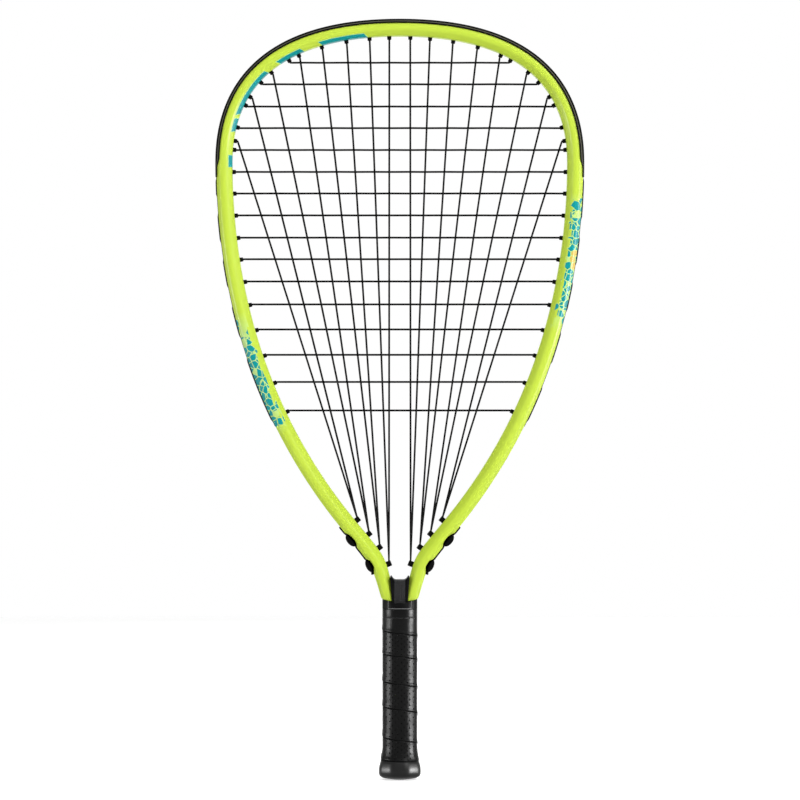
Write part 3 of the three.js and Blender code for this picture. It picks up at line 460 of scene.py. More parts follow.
tip_reach = TUBE_WIDTH / 2 + NUB_HEIGHT + TIP_BEND
throat_tip_reach = TUBE_WIDTH / 2 + THROAT_NUB_HEIGHT / 2
main_arcs = [share * widest_arc for share in main_hole_shares]
cross_heights = [lerp(FIRST_CROSS_HEIGHT, LAST_CROSS_HEIGHT, share) for share in cross_hole_shares]
cross_arcs = [arc_at_height(height, -tip_reach) for height in cross_heights]
throat_arcs = [lerp(throat_arc, neck_arc, share) for share in throat_hole_shares]
pulley_arcs = [lerp(throat_arc, neck_arc, share) for share in pulley_shares]

crown_strip_end = lerp(cross_arcs[CROWN_CROSSES - 1], cross_arcs[CROWN_CROSSES], crown_strip_end_share)
bumper_tail_start = crown_strip_end - BUMPER_TAIL
side_strip_start = crown_strip_end + STRIP_END_GAP
side_strip_end = cross_arcs[-1] + SIDE_STRIP_TAIL
throat_strip_start = throat_arcs[0] - THROAT_UPPER_TAIL
throat_strip_end = throat_arcs[-1] + THROAT_LOWER_TAIL

# Recessed stretches of the tube on either side, the first one right over the crown
recesses = (
    (-CLEARANCE, side_strip_end + CLEARANCE),
    (throat_strip_start - CLEARANCE, throat_strip_end + CLEARANCE),
)


# Outlines and surfaces

def bend(back, here, ahead, reach, steps):
    """Points of the curve that takes off a corner."""
    start = here + back.normalized() * reach
    end = here + ahead.normalized() * reach
    curve = []
    for step in range(steps + 1):
        t = step / steps
        curve.append(start * (1 - t) ** 2 + here * (2 * t * (1 - t)) + end * t * t)
    return curve


def rounded(corners, radii, steps=CORNER_STEPS):
    """A closed outline with curved corners, of one radius or one each, and a fixed number of points."""
    corners = [Vector(corner) for corner in corners]
    if isinstance(radii, float):
        radii = [radii] * len(corners)
    points = []
    for index, here in enumerate(corners):
        back = corners[index - 1] - here
        ahead = corners[(index + 1) % len(corners)] - here
        reach = min(radii[index], corner_share * back.length, corner_share * ahead.length)
        points += bend(back, here, ahead, reach, steps)
    return points


def two_sided(half, radii, steps=CORNER_STEPS, flip=(1, -1)):
    """A rounded outline, given by its corners on one side of the middle line."""
    other = [(x * flip[0], y * flip[1]) for x, y in half]
    return rounded([*other, *reversed(half)], [*radii, *reversed(radii)], steps)


def plate(left, right, low, high, radius, steps=CORNER_STEPS):
    """A rectangle with rounded corners."""
    return rounded(((left, low), (right, low), (right, high), (left, high)), radius, steps)


def level_ring(outline, height):
    return [Vector((x, y, height)) for x, y in outline]


def inset_ring(ring, distance):
    """A convex anticlockwise outline with every side moved inwards by a distance."""
    lines = []
    for index, corner in enumerate(ring):
        side = (ring[(index + 1) % len(ring)] - corner).normalized()
        normal = Vector((-side.y, side.x))
        lines.append((normal, normal.dot(corner) + distance))
    moved = []
    for index, (normal, reach) in enumerate(lines):
        other, other_reach = lines[index - 1]
        cross = other.x * normal.y - other.y * normal.x
        moved.append(Vector((
            (other_reach * normal.y - reach * other.y) / cross,
            (other.x * reach - normal.x * other_reach) / cross,
        )))
    return moved


def spread(start, end, step):
    parts = max(1, math.ceil(abs(end - start) / step))
    return [lerp(start, end, index / parts) for index in range(parts + 1)]


def loft(rings, looped=False):
    """Points and faces of the surface through rings of points, closed at both ends or joined up."""
    count = len(rings[0])
    points = [point for ring in rings for point in ring]
    faces = []
    for ring in range(len(rings) - (0 if looped else 1)):
        here = ring * count
        there = ((ring + 1) % len(rings)) * count
        for corner in range(count):
            beside = (corner + 1) % count
            faces.append((here + corner, here + beside, there + beside, there + corner))
    if not looped:
        faces.append(tuple(range(count)))
        faces.append(tuple(range(len(points) - count, len(points))))
    return points, faces


def tube(points, radius, sides):
    """A round tube through a list of points, turning without twist."""
    directions = [(after - before).normalized() for before, after in zip(points, points[1:])]
    angles = [2 * math.pi * corner / sides for corner in range(sides)]
    side = directions[0].orthogonal().normalized()
    rings = []
    for index, point in enumerate(points):
        before = directions[max(index - 1, 0)]
        after = directions[min(index, len(directions) - 1)]
        tangent = (before + after).normalized()
        side = (side - tangent * side.dot(tangent)).normalized()
        lift = tangent.cross(side)
        rings.append([point + (side * math.cos(a) + lift * math.sin(a)) * radius for a in angles])
    return loft(rings)


def sweep(outline_at, arcs, end_round=0.0):
    """A solid along the frame, whose first and last outlines draw in where its ends are to be round."""
    if end_round:
        turn = math.copysign(end_round, arcs[-1] - arcs[0])
        arcs = [arcs[0], arcs[0] + turn, *arcs[1:-1], arcs[-1] - turn, arcs[-1]]
    rings = []
    for arc in arcs:
        outline = outline_at(arc)
        if end_round and arc in (arcs[0], arcs[-1]):
            middle = sum(outline, Vector((0, 0))) / len(outline)
            outline = [point + (middle - point).normalized() * end_round for point in outline]
        rings.append(ring_at(arc, outline))
    return loft(rings)


def new_mesh(name, points, faces):
    mesh = bpy.data.meshes.new(name)
    mesh.from_pydata(points, [], faces)
    return mesh


def new_object(name, data):
    made = bpy.data.objects.new(name, data)
    bpy.context.scene.collection.objects.link(made)
    return made


def tidy_mesh(mesh, trims=()):
    """Cut at level planes, given as (height, 1 to cut above or -1 below), then set normals and edges."""
    surface = bmesh.new()
    surface.from_mesh(mesh)
    for height, way in trims:
        parts = [*surface.verts, *surface.edges, *surface.faces]
        bmesh.ops.bisect_plane(
            surface, geom=parts, plane_co=(0, 0, height), plane_no=(0, 0, way), clear_outer=True,
        )
        open_edges = [edge for edge in surface.edges if edge.is_boundary]
        bmesh.ops.holes_fill(surface, edges=open_edges, sides=0)
    bmesh.ops.recalc_face_normals(surface, faces=surface.faces)
    for face in surface.faces:
        face.smooth = True
    for edge in surface.edges:
        edge.smooth = edge.calc_face_angle(0) < CREASE
    surface.to_mesh(mesh)
    surface.free()


def add_piece(name, shells, material, node, marks=None, trims=()):
    """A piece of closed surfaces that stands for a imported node, smooth but for its sharp edges."""
    points = []
    faces = []
    for shell_points, shell_faces in shells:
        base = len(points)
        points += shell_points
        faces += [tuple(base + corner for corner in face) for face in shell_faces]
    mesh = new_mesh(name, points, faces)
    if marks:
        layer = mesh.attributes.new("run", "FLOAT_VECTOR", "POINT")
        layer.data.foreach_set("vector", [value for mark in marks for value in mark])
    tidy_mesh(mesh, trims)
    mesh.materials.append(material)
    made = new_object(name, mesh)
    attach(made, "root")
    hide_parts(node)
    return made


# Materials

def rgb(red, green, blue):
    """A colour given in display values from 0 to 255, as a shader takes it."""
    def linear(value):
        share = value / 255
        return share / 12.92 if share <= 0.04045 else ((share + 0.055) / 1.055) ** 2.4
    return linear(red), linear(green), linear(blue), 1


class Shader:
    """A material's nodes, with short ways to add maths, mixes, patterns and bumps."""

    def __init__(self, name):
        self.material = bpy.data.materials.new(name)
        self.material.use_nodes = True
        self.tree = self.material.node_tree
        self.surface = self.tree.nodes["Principled BSDF"]
        self.place = self.node("TexCoord").outputs["Object"]

    def feed(self, socket, value):
        if isinstance(value, bpy.types.NodeSocket):
            self.tree.links.new(value, socket)
        else:
            socket.default_value = value

    def fill(self, node, values):
        for key, value in values.items():
            self.feed(node.inputs[key.replace("_", " ")], value)

    def node(self, kind, **values):
        """A new node whose inputs are fed by name."""
        made = self.tree.nodes.new("ShaderNode" + kind)
        self.fill(made, values)
        return made

    def set(self, **values):
        self.fill(self.surface, values)

    def math(self, operation, *values):
        node = self.node("Math")
        node.operation = operation
        for socket, value in zip(node.inputs, values):
            self.feed(socket, value)
        return node.outputs[0]

    def above(self, value, limit):
        return self.math("GREATER_THAN", value, limit)

    def below(self, value, limit):
        return self.math("LESS_THAN", value, limit)

    def both(self, first, second):
        return self.math("MULTIPLY", first, second)

    def window(self, value, low, high):
        """1 where the value lies between two limits, and 0 elsewhere."""
        return self.both(self.above(value, low), self.below(value, high))

    def capped(self, value):
        """The value, held between 0 and 1."""
        return self.math("MINIMUM", self.math("MAXIMUM", value, 0.0), 1.0)

    def between(self, factor, low, high):
        """A number that follows a factor from 0 to 1 between two limits."""
        return self.math("MULTIPLY_ADD", factor, high - low, low)

    def mix(self, factor, first, second):
        """A colour between two, each given by display values or by a socket."""
        node = self.node("Mix")
        node.data_type = "RGBA"
        for index, value in ((0, factor), (6, first), (7, second)):
            self.feed(node.inputs[index], rgb(*value) if isinstance(value, tuple) else value)
        return node.outputs[2]

    def greys(self, factor, dark, light):
        return self.mix(factor, (dark, dark, dark), (light, light, light))

    def split(self, vector):
        return self.node("SeparateXYZ", Vector=vector).outputs

    def marks(self):
        """The three numbers that a piece's points carry."""
        run = self.node("Attribute")
        run.attribute_name = "run"
        self.run = run.outputs["Vector"]
        return self.split(self.run)

    def noise(self, scale, detail=3.0, stretch=None):
        source = self.place
        if stretch:
            source = self.node("Mapping", Vector=source, Scale=stretch).outputs[0]
        return self.node("TexNoise", Vector=source, Scale=scale, Detail=detail).outputs[0]

    def cells(self, scale, source=None, feature="DISTANCE_TO_EDGE", output="Distance"):
        """Irregular cells: the distance to the nearest edge, or another of the pattern's outputs."""
        node = self.node("TexVoronoi", Vector=source or self.place, Scale=scale)
        node.feature = feature
        return node.outputs[output]

    def tiles(self, scale):
        """Two random numbers for each irregular tile in the piece's marks, and the distance to its edge."""
        colour = self.cells(scale, self.run, "F1", "Color")
        chance, other, _ = self.node("SeparateColor", Color=colour).outputs
        return chance, other, self.cells(scale, self.run)

    def finish(self, colour, pattern, roughness, **more):
        """The colour, a roughness that follows a pattern between two limits, and other surface values."""
        self.set(Base_Color=colour, Roughness=self.between(pattern, *roughness), **more)

    def bump(self, height, distance, strength, **under):
        normal = self.node("Bump", Height=height, Distance=distance, Strength=strength, **under).outputs[0]
        self.set(Normal=normal)
        return normal

    def fine_grain(self):
        self.bump(self.noise(scale=1800.0), distance=0.00002, strength=0.5)


def painted_stripes(shader, arc, out, grow):
    """1 on the stripes along the tube's inner edge, grown by a fringe."""
    offset = shader.math("ADD", out, STRIPE_MIDDLE)
    total = 0.0
    for ends, slant in zip(STRIPE_ENDS, STRIPE_SLANTS):
        first, last = sorted(arc_at_pixel(end) for end in ends)
        slanted = shader.math("MULTIPLY_ADD", offset, slant, arc)
        total = shader.math("MAXIMUM", total, shader.window(slanted, first - grow, last + grow))
    return shader.both(total, shader.below(out, STRIPE_WIDTH + grow - TUBE_WIDTH / 2))


def painted_tiles(shader, arc, out, colour, ink):
    """Irregular tiles with pale joints, a few of them amber, that thin out towards the ends of each band."""
    chance, other, joint = shader.tiles(1 / TILE_SIZE)
    ink = shader.mix(shader.above(other, amber_share), ink, AMBER)
    outer = shader.above(out, shader.math("MULTIPLY_ADD", other, BAND_RAGGED, BAND_LOW))
    filled = shader.both(outer, shader.above(joint, TILE_JOINT))
    for ends in BAND_ENDS:
        first, last = sorted(arc_at_pixel(end) for end in ends)
        from_first = shader.math("SUBTRACT", arc, first)
        to_last = shader.math("SUBTRACT", last, arc)
        inside = shader.math("MINIMUM", from_first, to_last)
        share = shader.capped(shader.math("DIVIDE", inside, BAND_FADE))
        colour = shader.mix(shader.both(shader.both(share, outer), ground_share), colour, BAND_GROUND)
        chosen = shader.below(chance, shader.both(share, tile_share))
        colour = shader.mix(shader.both(chosen, filled), colour, ink)
    return colour


def paint_material():
    """Glossy lime paint with teal stripes along the inner edge and bands of tiles on the outer half."""
    shader = Shader("lime_paint")
    arc, out, _ = shader.marks()
    cloud = shader.noise(scale=9.0, detail=2.0)
    colour = shader.mix(cloud, *LIMES)
    teal = shader.mix(shader.noise(scale=60.0), *TEALS)
    for grow, ink in ((FRINGE, STRIPE_FRINGE), (0.0, teal)):
        colour = shader.mix(painted_stripes(shader, arc, out, grow), colour, ink)
    colour = painted_tiles(shader, arc, out, colour, teal)
    gloss = {"Specular_IOR_Level": 0.08, "Coat_Weight": 0.15, "Coat_Roughness": 0.36}
    shader.finish(colour, cloud, (0.3, 0.38), **gloss)
    shader.bump(shader.noise(scale=110.0, detail=2.0), distance=0.00004, strength=0.2)
    return shader.material


def moulded_material(name, dark, light, roughness, shine):
    """Moulded black plastic or rubber with cloudy sheen and a fine even grain."""
    shader = Shader(name)
    cloud = shader.noise(scale=45.0, detail=4.0)
    shader.finish(shader.greys(cloud, dark, light), cloud, roughness, Specular_IOR_Level=shine)
    shader.fine_grain()
    return shader.material


def bumper_material():
    """Black nylon, with a painted highlight: a dull grey line along the bead on its flaps."""
    shader = Shader("bumper_plastic")
    bead, _, _ = shader.marks()
    cloud = shader.noise(scale=160.0, detail=4.0)
    # The bead's points are painted grey as a highlight on the black nylon
    colour = shader.mix(bead, shader.greys(cloud, dark=2, light=8), shader.mix(cloud, *BEAD_HIGHLIGHT_GREYS))
    shader.finish(colour, cloud, (0.45, 0.55), Specular_IOR_Level=0.03)
    shader.fine_grain()
    return shader.material


def string_material():
    """Semi-gloss black string with faint patches of lighter wear."""
    shader = Shader("black_string")
    wear = shader.noise(scale=420.0)
    shader.finish(shader.greys(wear, dark=2, light=8), wear, (0.35, 0.5), Specular_IOR_Level=0.04)
    shader.bump(wear, distance=0.00003, strength=0.3)
    return shader.material


def wrap_material():
    """Satin synthetic leather: fine cells, a faint crease grain, patches of polish and perforations darkened
    with painted shade.
    """
    shader = Shader("grip_leather")
    pierced, _, _ = shader.marks()
    patches = shader.noise(scale=70.0, detail=4.0)
    leather = shader.greys(patches, dark=6, light=17)
    # Each perforation's dent is darkened with painted shade, deepest at its middle
    depth = shader.math("MINIMUM", shader.both(pierced, 1.6), 1.0)
    shader.finish(shader.mix(depth, leather, HOLE_SHADE), patches, (0.26, 0.4), Specular_IOR_Level=0.08)
    creases = shader.noise(scale=520.0, detail=5.0, stretch=(1.0, 1.0, 0.45))
    under = shader.bump(creases, distance=0.00012, strength=0.6)
    shader.bump(shader.cells(scale=1500.0), distance=0.00004, strength=0.5, Normal=under)
    return shader.material


def yoke_material():
    """Black moulding with a greyer streaked panel, and its skirt's front facet edged with pale lines of
    painted highlight.
    """
    shader = Shader("yoke_plastic")
    x, _, z = shader.split(shader.place)
    beside = shader.math("ABSOLUTE", x)
    panel = shader.both(
        shader.below(beside, YOKE_FOOT_HALF_WIDTH - YOKE_BORDER), shader.above(z, NECK_HEIGHT - YOKE_BORDER),
    )
    # Pale lines up the seams and along the skirt's foot are painted highlight
    upright = shader.both(
        shader.window(beside, SEAM_PLACE - SEAM_HALF_WIDTH, SEAM_PLACE + SEAM_HALF_WIDTH),
        shader.below(z, NECK_HEIGHT),
    )
    level = shader.both(shader.below(beside, SEAM_PLACE), shader.below(z, YOKE_BOTTOM + 2 * SEAM_HALF_WIDTH))
    painted_highlight = shader.math("MAXIMUM", upright, level)
    streaks = shader.noise(scale=900.0, stretch=(1.0, 1.0, 0.12))
    black = shader.greys(shader.noise(scale=45.0, detail=4.0), dark=3, light=8)
    colour = shader.mix(panel, black, shader.mix(streaks, *PANEL_GREYS))
    shader.finish(shader.mix(painted_highlight, colour, PAINTED_HIGHLIGHT_GREY), streaks, (0.4, 0.52), Specular_IOR_Level=0.05)
    shader.bump(streaks, distance=0.00004, strength=0.4)
    return shader.material


def steel_material():
    """Plain steel, brushed one way."""
    shader = Shader("tack_steel")
    brushed = shader.noise(scale=900.0, detail=2.0, stretch=(1.0, 6.0, 1.0))
    shader.finish(shader.mix(brushed, *STEELS), brushed, (0.3, 0.42), Metallic=1.0)
    return shader.material


def foam_material():
    """Moulded handle foam with fine open pores."""
    shader = Shader("pallet_foam")
    pores = shader.cells(scale=900.0)
    shader.finish(shader.mix(pores, *FOAMS), pores, (0.7, 0.85))
    shader.bump(pores, distance=0.00015, strength=0.4)
    return shader.material


# Frame tube: outer and inner half width, half depth, then width and depth of the outer and inner bevels

HEAD_SIZES = (
    TUBE_WIDTH / 2, TUBE_WIDTH / 2, TUBE_DEPTH / 2,
    OUTER_BEVEL, OUTER_BEVEL_DEPTH, INNER_BEVEL, INNER_BEVEL_DEPTH,
)
NECK_SIZES = (
    NECK_TUBE_WIDTH / 2, NECK_TUBE_WIDTH / 2, TUBE_DEPTH / 2,
    NECK_BEVEL, OUTER_BEVEL_DEPTH, NECK_BEVEL, INNER_BEVEL_DEPTH,
)
LEG_SIZES = (LEG_OUTER, NECK_TUBE_WIDTH / 2, LEG_DEPTH, *[NECK_BEVEL] * 4)
FOOT_SIZES = (LEG_OUTER, LEG_INNER, LEG_DEPTH, *[NECK_BEVEL] * 4)


def tube_sizes(arc):
    share = clamp((abs(arc) - neck_arc + NECK_TAPER_LENGTH) / NECK_TAPER_LENGTH)
    return [lerp(head, neck, share) for head, neck in zip(HEAD_SIZES, NECK_SIZES)]


def scallop(arc):
    """How far the tube's outer edge draws in beside the half-round guards."""
    nearest = min(abs(abs(arc) - middle) for middle in pulley_arcs)
    return SCALLOP_DEPTH * ease(SCALLOP_SLOPE * (1 - nearest / (SCALLOP_LENGTH / 2)))


def tube_outline(sizes, recessed=False, dent=0.0, shrink=0.0):
    """Out and across of the tube's surface, with the recess's two rims and floor always in it."""
    outer, inner, depth, outer_bevel, outer_bevel_depth, inner_bevel, inner_bevel_depth = sizes
    face = outer - outer_bevel
    back = inner_bevel - inner
    outer_side = depth - outer_bevel_depth
    inner_side = depth - inner_bevel_depth
    outer -= dent + shrink
    inner -= shrink
    depth -= shrink
    edge = depth - FACE_ARCH
    rim = min(RECESS_HALF_WIDTH, outer_side - 2 * RIM_ROUND)
    floor = RECESS_FLOOR if recessed else outer - LEAST_RECESS
    half = (
        (-inner, inner_side), (back, edge), ((face + back) / 2, depth), (face, edge),
        (outer, outer_side), (outer, rim), (floor, rim),
    )
    radii = (INNER_ROUND, INNER_ROUND, ARCH_ROUND, OUTER_ROUND, SIDE_ROUND, RIM_ROUND, RIM_ROUND)
    return two_sided(half, radii, FINE_STEPS)


def tube_arcs():
    """Arcs of the tube's rings down the right side, with a pair close together at each recess end."""
    stops = [0.0, neck_arc - NECK_TAPER_LENGTH, neck_arc - 2 * TUBE_STEP]
    for edge in (recesses[0][1], *recesses[1]):
        stops += [edge - RIM_ROUND, edge + RIM_ROUND]
    stops.sort()
    arcs = [0.0]
    for start, end in zip(stops, stops[1:]):
        arcs += spread(start, end, TUBE_STEP)[1:]
    return arcs


def step_ring(outline, side, drop):
    """A ring at the tube's painted end, on a plane that climbs outwards, a little above or below it."""
    centre, along, outward = frame_at(side * neck_arc)
    normal = Vector((-side * math.sin(NECK_LEAN), 0, math.cos(NECK_LEAN)))
    ring = []
    for out, across in outline:
        offset = outward * out
        slide = -(offset.dot(normal) + drop) / along.dot(normal)
        ring.append(centre + offset + along * slide + Vector((0, across, 0)))
    return ring


def half_tube(side):
    """Arc, outline and points of each ring of one half of the tube, from the crown to the foot of the leg."""
    rings = []

    def add(arc, outline):
        rings.append((side * arc, outline, ring_at(side * arc, outline)))

    for arc in tube_arcs():
        recessed = any(start < arc < end for start, end in recesses)
        add(arc, tube_outline(tube_sizes(arc), recessed, scallop(arc)))
    steps = (
        (NECK_SIZES, 0.0, -PAINT_EDGE), (NECK_SIZES, PAINT_EDGE / 4, -PAINT_EDGE / 4),
        (NECK_SIZES, PAINT_EDGE, 0.0), (LEG_SIZES, 0.0, 0.0),
    )
    for sizes, shrink, drop in steps:
        outline = tube_outline(sizes, shrink=shrink)
        rings.append((side * neck_arc, outline, step_ring(outline, side, drop)))
    add(neck_arc + 2 * TUBE_STEP, tube_outline(LEG_SIZES))
    add(leg_arc, tube_outline(FOOT_SIZES))
    add(foot_arc, tube_outline(FOOT_SIZES))
    return rings


def make_frame(material):
    rings = half_tube(-1)[:0:-1] + half_tube(1)
    marks = [(arc, out, across) for arc, outline, _ in rings for out, across in outline]
    shell = loft([points for _, _, points in rings])
    add_piece("frame_tube", [shell], material, "frame", marks)


# Strips, bumper and guards

def bumper_outline(arc):
    """The bumper across the tube: its foot in the recess, rails beside the groove, flaps over the bevels."""
    lap = BUMPER_LAP * lerp(tail_lap_share, 1.0, ease((bumper_tail_start - abs(arc)) / BUMPER_LAP_LENGTH))
    bevel = Vector((-OUTER_BEVEL, OUTER_BEVEL_DEPTH - FACE_ARCH)).normalized()
    skin = Vector((bevel.y, -bevel.x)) * BUMPER_WALL
    lip = Vector((TUBE_WIDTH / 2 + CLEARANCE, TUBE_DEPTH / 2 - OUTER_BEVEL_DEPTH + CLEARANCE / 2))
    edge = lip + bevel * lap + Vector((0, CLEARANCE / 2))
    rim = edge + skin * rim_share
    shoulder = Vector((TUBE_WIDTH / 2 + BUMPER_PROUD, lip.y + skin.y))
    ridge = rim.lerp(shoulder, bead_share) + skin.normalized() * BUMPER_RIDGE
    half = (
        (BUMPER_FOOT, STRIP_HALF_WIDTH), (lip.x, STRIP_HALF_WIDTH), lip, edge, rim,
        rim.lerp(shoulder, bead_share / 2), ridge, rim.lerp(shoulder, bead_share * 1.5), shoulder,
        (shoulder.x, GROOVE_HALF_WIDTH), (CHANNEL_FLOOR, GROOVE_HALF_WIDTH),
    )
    return two_sided(half, BUMPER_RADII)


def barrel(arc, lane, width, depth, height, taper):
    """One grommet's barrel from the strip through the tube, with a tapered tip and a mouth for the string."""
    def section(out, half_along, half_across, edge=NUB_EDGE):
        outline = plate(-half_along, half_along, -half_across, half_across, edge)
        return [place(arc, out, lane + across, along) for along, across in outline]

    end = -TUBE_WIDTH / 2 - height
    body = (width / 2, depth / 2)
    waist = (width / 2 - taper, depth / 2 - taper)
    mouth = (MOUTH_RADIUS, depth / 2 - width / 2 + MOUTH_RADIUS, MOUTH_RADIUS)
    return loft([
        section(STRIP_FOOT + STRIP_BASE / 2, *body), section(-TUBE_WIDTH / 2, *body),
        section(end + NUB_EDGE, *waist), section(end, waist[0] - NUB_EDGE, waist[1] - NUB_EDGE),
        section(end, *mouth), section(end + MOUTH_DEPTH, *mouth),
    ])


def barrels(low, high):
    """The barrels between two arcs, those of the mains and crosses in their own rows."""
    round_one = (BARREL_WIDTH, BARREL_WIDTH, NUB_HEIGHT, NUB_TAPER)
    wide_one = (THROAT_BARREL_WIDTH, THROAT_BARREL_DEPTH, THROAT_NUB_HEIGHT, 0.0)
    rows = [(arc, -LANE, round_one) for arc in main_arcs]
    rows += [(arc, LANE, round_one) for arc in cross_arcs]
    rows += [(arc, 0.0, wide_one) for arc in throat_arcs]
    found = []
    for arc, lane, sizes in rows:
        found += [barrel(side * arc, lane, *sizes) for side in (-1, 1) if low < side * arc < high]
    return found


def make_bumper(material):
    half = spread(0.0, crown_strip_end, TUBE_STEP / 2)
    arcs = [*(-arc for arc in reversed(half)), *half[1:]]
    shell = sweep(bumper_outline, arcs, STRIP_END_ROUND)
    count = len(bumper_outline(0.0))
    corner = CORNER_STEPS + 1
    bead = BUMPER_BEAD_CORNER * corner
    # The bead's points, marked 1 for the painted highlight along it
    painted_highlight_points = (*range(bead, bead + corner), *range(count - bead - corner, count - bead))
    marks = [(float(index % count in painted_highlight_points), 0.0, 0.0) for index in range(len(shell[0]))]
    add_piece("bumper_guard_moulded", [shell], material, "bumper_guard", marks)


def make_crown_strip(material):
    end = crown_strip_end
    across = STRIP_HALF_WIDTH
    outline = plate(STRIP_FOOT, STRIP_FOOT + STRIP_BASE, -across, across, CROWN_STRIP_EDGE)
    shells = [sweep(lambda arc: outline, spread(-end, end, TUBE_STEP)), *barrels(-end, end)]
    add_piece("crown_strip_moulded", shells, material, "crown_grommet_strip")


def guard_spans(side):
    """Stretches of a side strip with a raised guard: its loops, from its end down, and the tied end."""
    first = side_strip_start + GUARD_SLOPE
    pairs = list(zip(cross_arcs, cross_arcs[1:]))
    loops = [pair for index, pair in enumerate(pairs) if (index % 2 == 0) == (side > 0) and pair[1] > first]
    spans = [(first, loops[0][1]), *loops[1:]]
    return spans if side > 0 else [*spans, pairs[-1]]


def guard_top(arc, spans):
    """Height of the strip's rails: flush, and raised along each loop."""
    rise = 0.0
    for start, end in spans:
        inside = min(abs(arc) - start + GUARD_SLOPE, end + GUARD_SLOPE - abs(arc))
        rise = max(rise, ease(inside / GUARD_SLOPE))
    return lerp(STRIP_TOP, TUBE_WIDTH / 2 + GUARD_HEIGHT, rise)


def pulley(arc):
    """A domed guard over the doubled string, with rounded edges."""
    seat = TUBE_WIDTH / 2 - PULLEY_SEAT
    levels = [
        (STRIP_HALF_WIDTH - PULLEY_EDGE * inward, PULLEY_EDGE * off) for inward, off in pulley_edge_shares
    ]
    levels += [(-across, inset) for across, inset in reversed(levels)]
    rings = []
    for across, inset in levels:
        half = PULLEY_HALF_LENGTH - inset
        rise = PULLEY_SEAT + PULLEY_RISE - inset
        ring = []
        for step in range(PULLEY_STEPS + 1):
            angle = math.pi * step / PULLEY_STEPS
            out = seat + rise * abs(math.sin(angle)) ** DOME_POWER
            ring.append(place(arc, out, across, half * math.cos(angle)))
        ring += [place(arc, STRIP_FOOT, across, -half), place(arc, STRIP_FOOT, across, half)]
        rings.append(ring)
    return loft(rings)


def add_strip(kind, side, start, end, outline_at, material, guards=()):
    """A strip beside the head with its grommets and guards, on the left for -1 and the right for 1."""
    name = kind + ("_left" if side < 0 else "_right")
    arcs = spread(side * start, side * end, TUBE_STEP / 2)
    low, high = sorted((side * start, side * end))
    shells = [sweep(outline_at, arcs, STRIP_END_ROUND), *barrels(low, high), *guards]
    piece_name = name.replace("_grommet", "") + "_moulded"
    add_piece(piece_name, shells, material, name)


def make_side_strip(side, material):
    spans = guard_spans(side)
    shoulder = STRIP_TOP - GUARD_SHOULDER_DROP

    def outline(arc):
        top = guard_top(arc, spans)
        half = (
            (STRIP_FOOT, STRIP_HALF_WIDTH), (shoulder, STRIP_HALF_WIDTH), (shoulder, GUARD_HALF_WIDTH),
            (top, GUARD_HALF_WIDTH), (top, GROOVE_HALF_WIDTH), (CHANNEL_FLOOR, GROOVE_HALF_WIDTH),
        )
        return two_sided(half, [GUARD_EDGE] * len(half))

    add_strip("side_grommet_strip", side, side_strip_start, side_strip_end, outline, material)


def make_throat_strip(side, material):
    def outline(arc):
        tail = ease((abs(arc) - throat_arcs[-1] + THROAT_LOWER_TAIL / 2) / THROAT_LOWER_TAIL)
        top = TUBE_WIDTH / 2 + lerp(THROAT_PROUD, THROAT_LOWER_PROUD, tail) - scallop(arc) / 2
        return plate(STRIP_FOOT, top, -STRIP_HALF_WIDTH, STRIP_HALF_WIDTH, THROAT_STRIP_EDGE)

    guards = [pulley(side * arc) for arc in pulley_arcs]
    add_strip("throat_grommet_strip", side, throat_strip_start, throat_strip_end, outline, material, guards)


# Strings

def softened(points):
    """A path with its sharp corners drawn round."""
    path = [points[0]]
    for before, here, after in zip(points, points[1:], points[2:]):
        back = before - here
        ahead = after - here
        if back.angle(ahead, math.pi) > NEARLY_STRAIGHT:
            path.append(here)
        else:
            reach = min(STRING_BEND, bend_share * back.length, bend_share * ahead.length)
            path += bend(back, here, ahead, reach, FINE_STEPS)
    return path + [points[-1]]


def pass_points(hole, beyond):
    """A string's way through one grommet, from inside the head to the groove and on to another arc."""
    arc, lane, reach = hole
    turn = math.copysign(STRING_TURN, beyond - arc)
    return [
        place(arc, -reach, lane),
        place(arc, CHANNEL_CENTRE - STRING_TURN, lane),
        place(arc + turn, CHANNEL_CENTRE, lane),
    ]


def loop_points(start, end, lane):
    turn = math.copysign(STRING_TURN, end - start)
    return [place(arc, CHANNEL_CENTRE, lane) for arc in spread(start + turn, end - turn, LOOP_STEP)[1:-1]]


def thread(runs, weave):
    """One unbroken path. A run has two holes, each (arc, lane, reach), and its number in the weave."""
    points = []
    for index, (start, end, number) in enumerate(runs):
        last = index + 1 == len(runs)
        before = runs[index - 1][1][0] if index else start[0] + math.copysign(STRING_END, start[0])
        after = end[0] - math.copysign(STRING_END, end[0]) if last else runs[index + 1][0][0]
        entry = pass_points(start, before)
        leave = pass_points(end, after)
        if not index:
            points.append(place(before, CHANNEL_CENTRE, start[1]))
        points += softened([points[-1], *reversed(entry)])[1:]
        points += weave(entry[0], leave[0], number)
        beyond = place(after, CHANNEL_CENTRE, end[1])
        points += softened([*leave, beyond])[:-1]
        points += [beyond] if last else loop_points(end[0], after, end[1])
    path = [points[0]]
    for point in points[1:]:
        if (point - path[-1]).length > STRING_RADIUS / 10:
            path.append(point)
    return tube(path, STRING_RADIUS, STRING_SIDES)


def main_holes(side, number):
    """Arcs of the top and throat holes of one main, numbered from the middle outwards."""
    return side * main_arcs[number - 1], side * throat_arcs[len(throat_arcs) - math.ceil(number / 2)]


def main_place(side, number):
    """A main's place in the weave, from the left."""
    return number + len(main_arcs) - 1 if side > 0 else len(main_arcs) - number


def main_level(column, row):
    """Where a main lies at a cross: before it and behind it by turns."""
    return WEAVE if (column + row) % 2 else -WEAVE


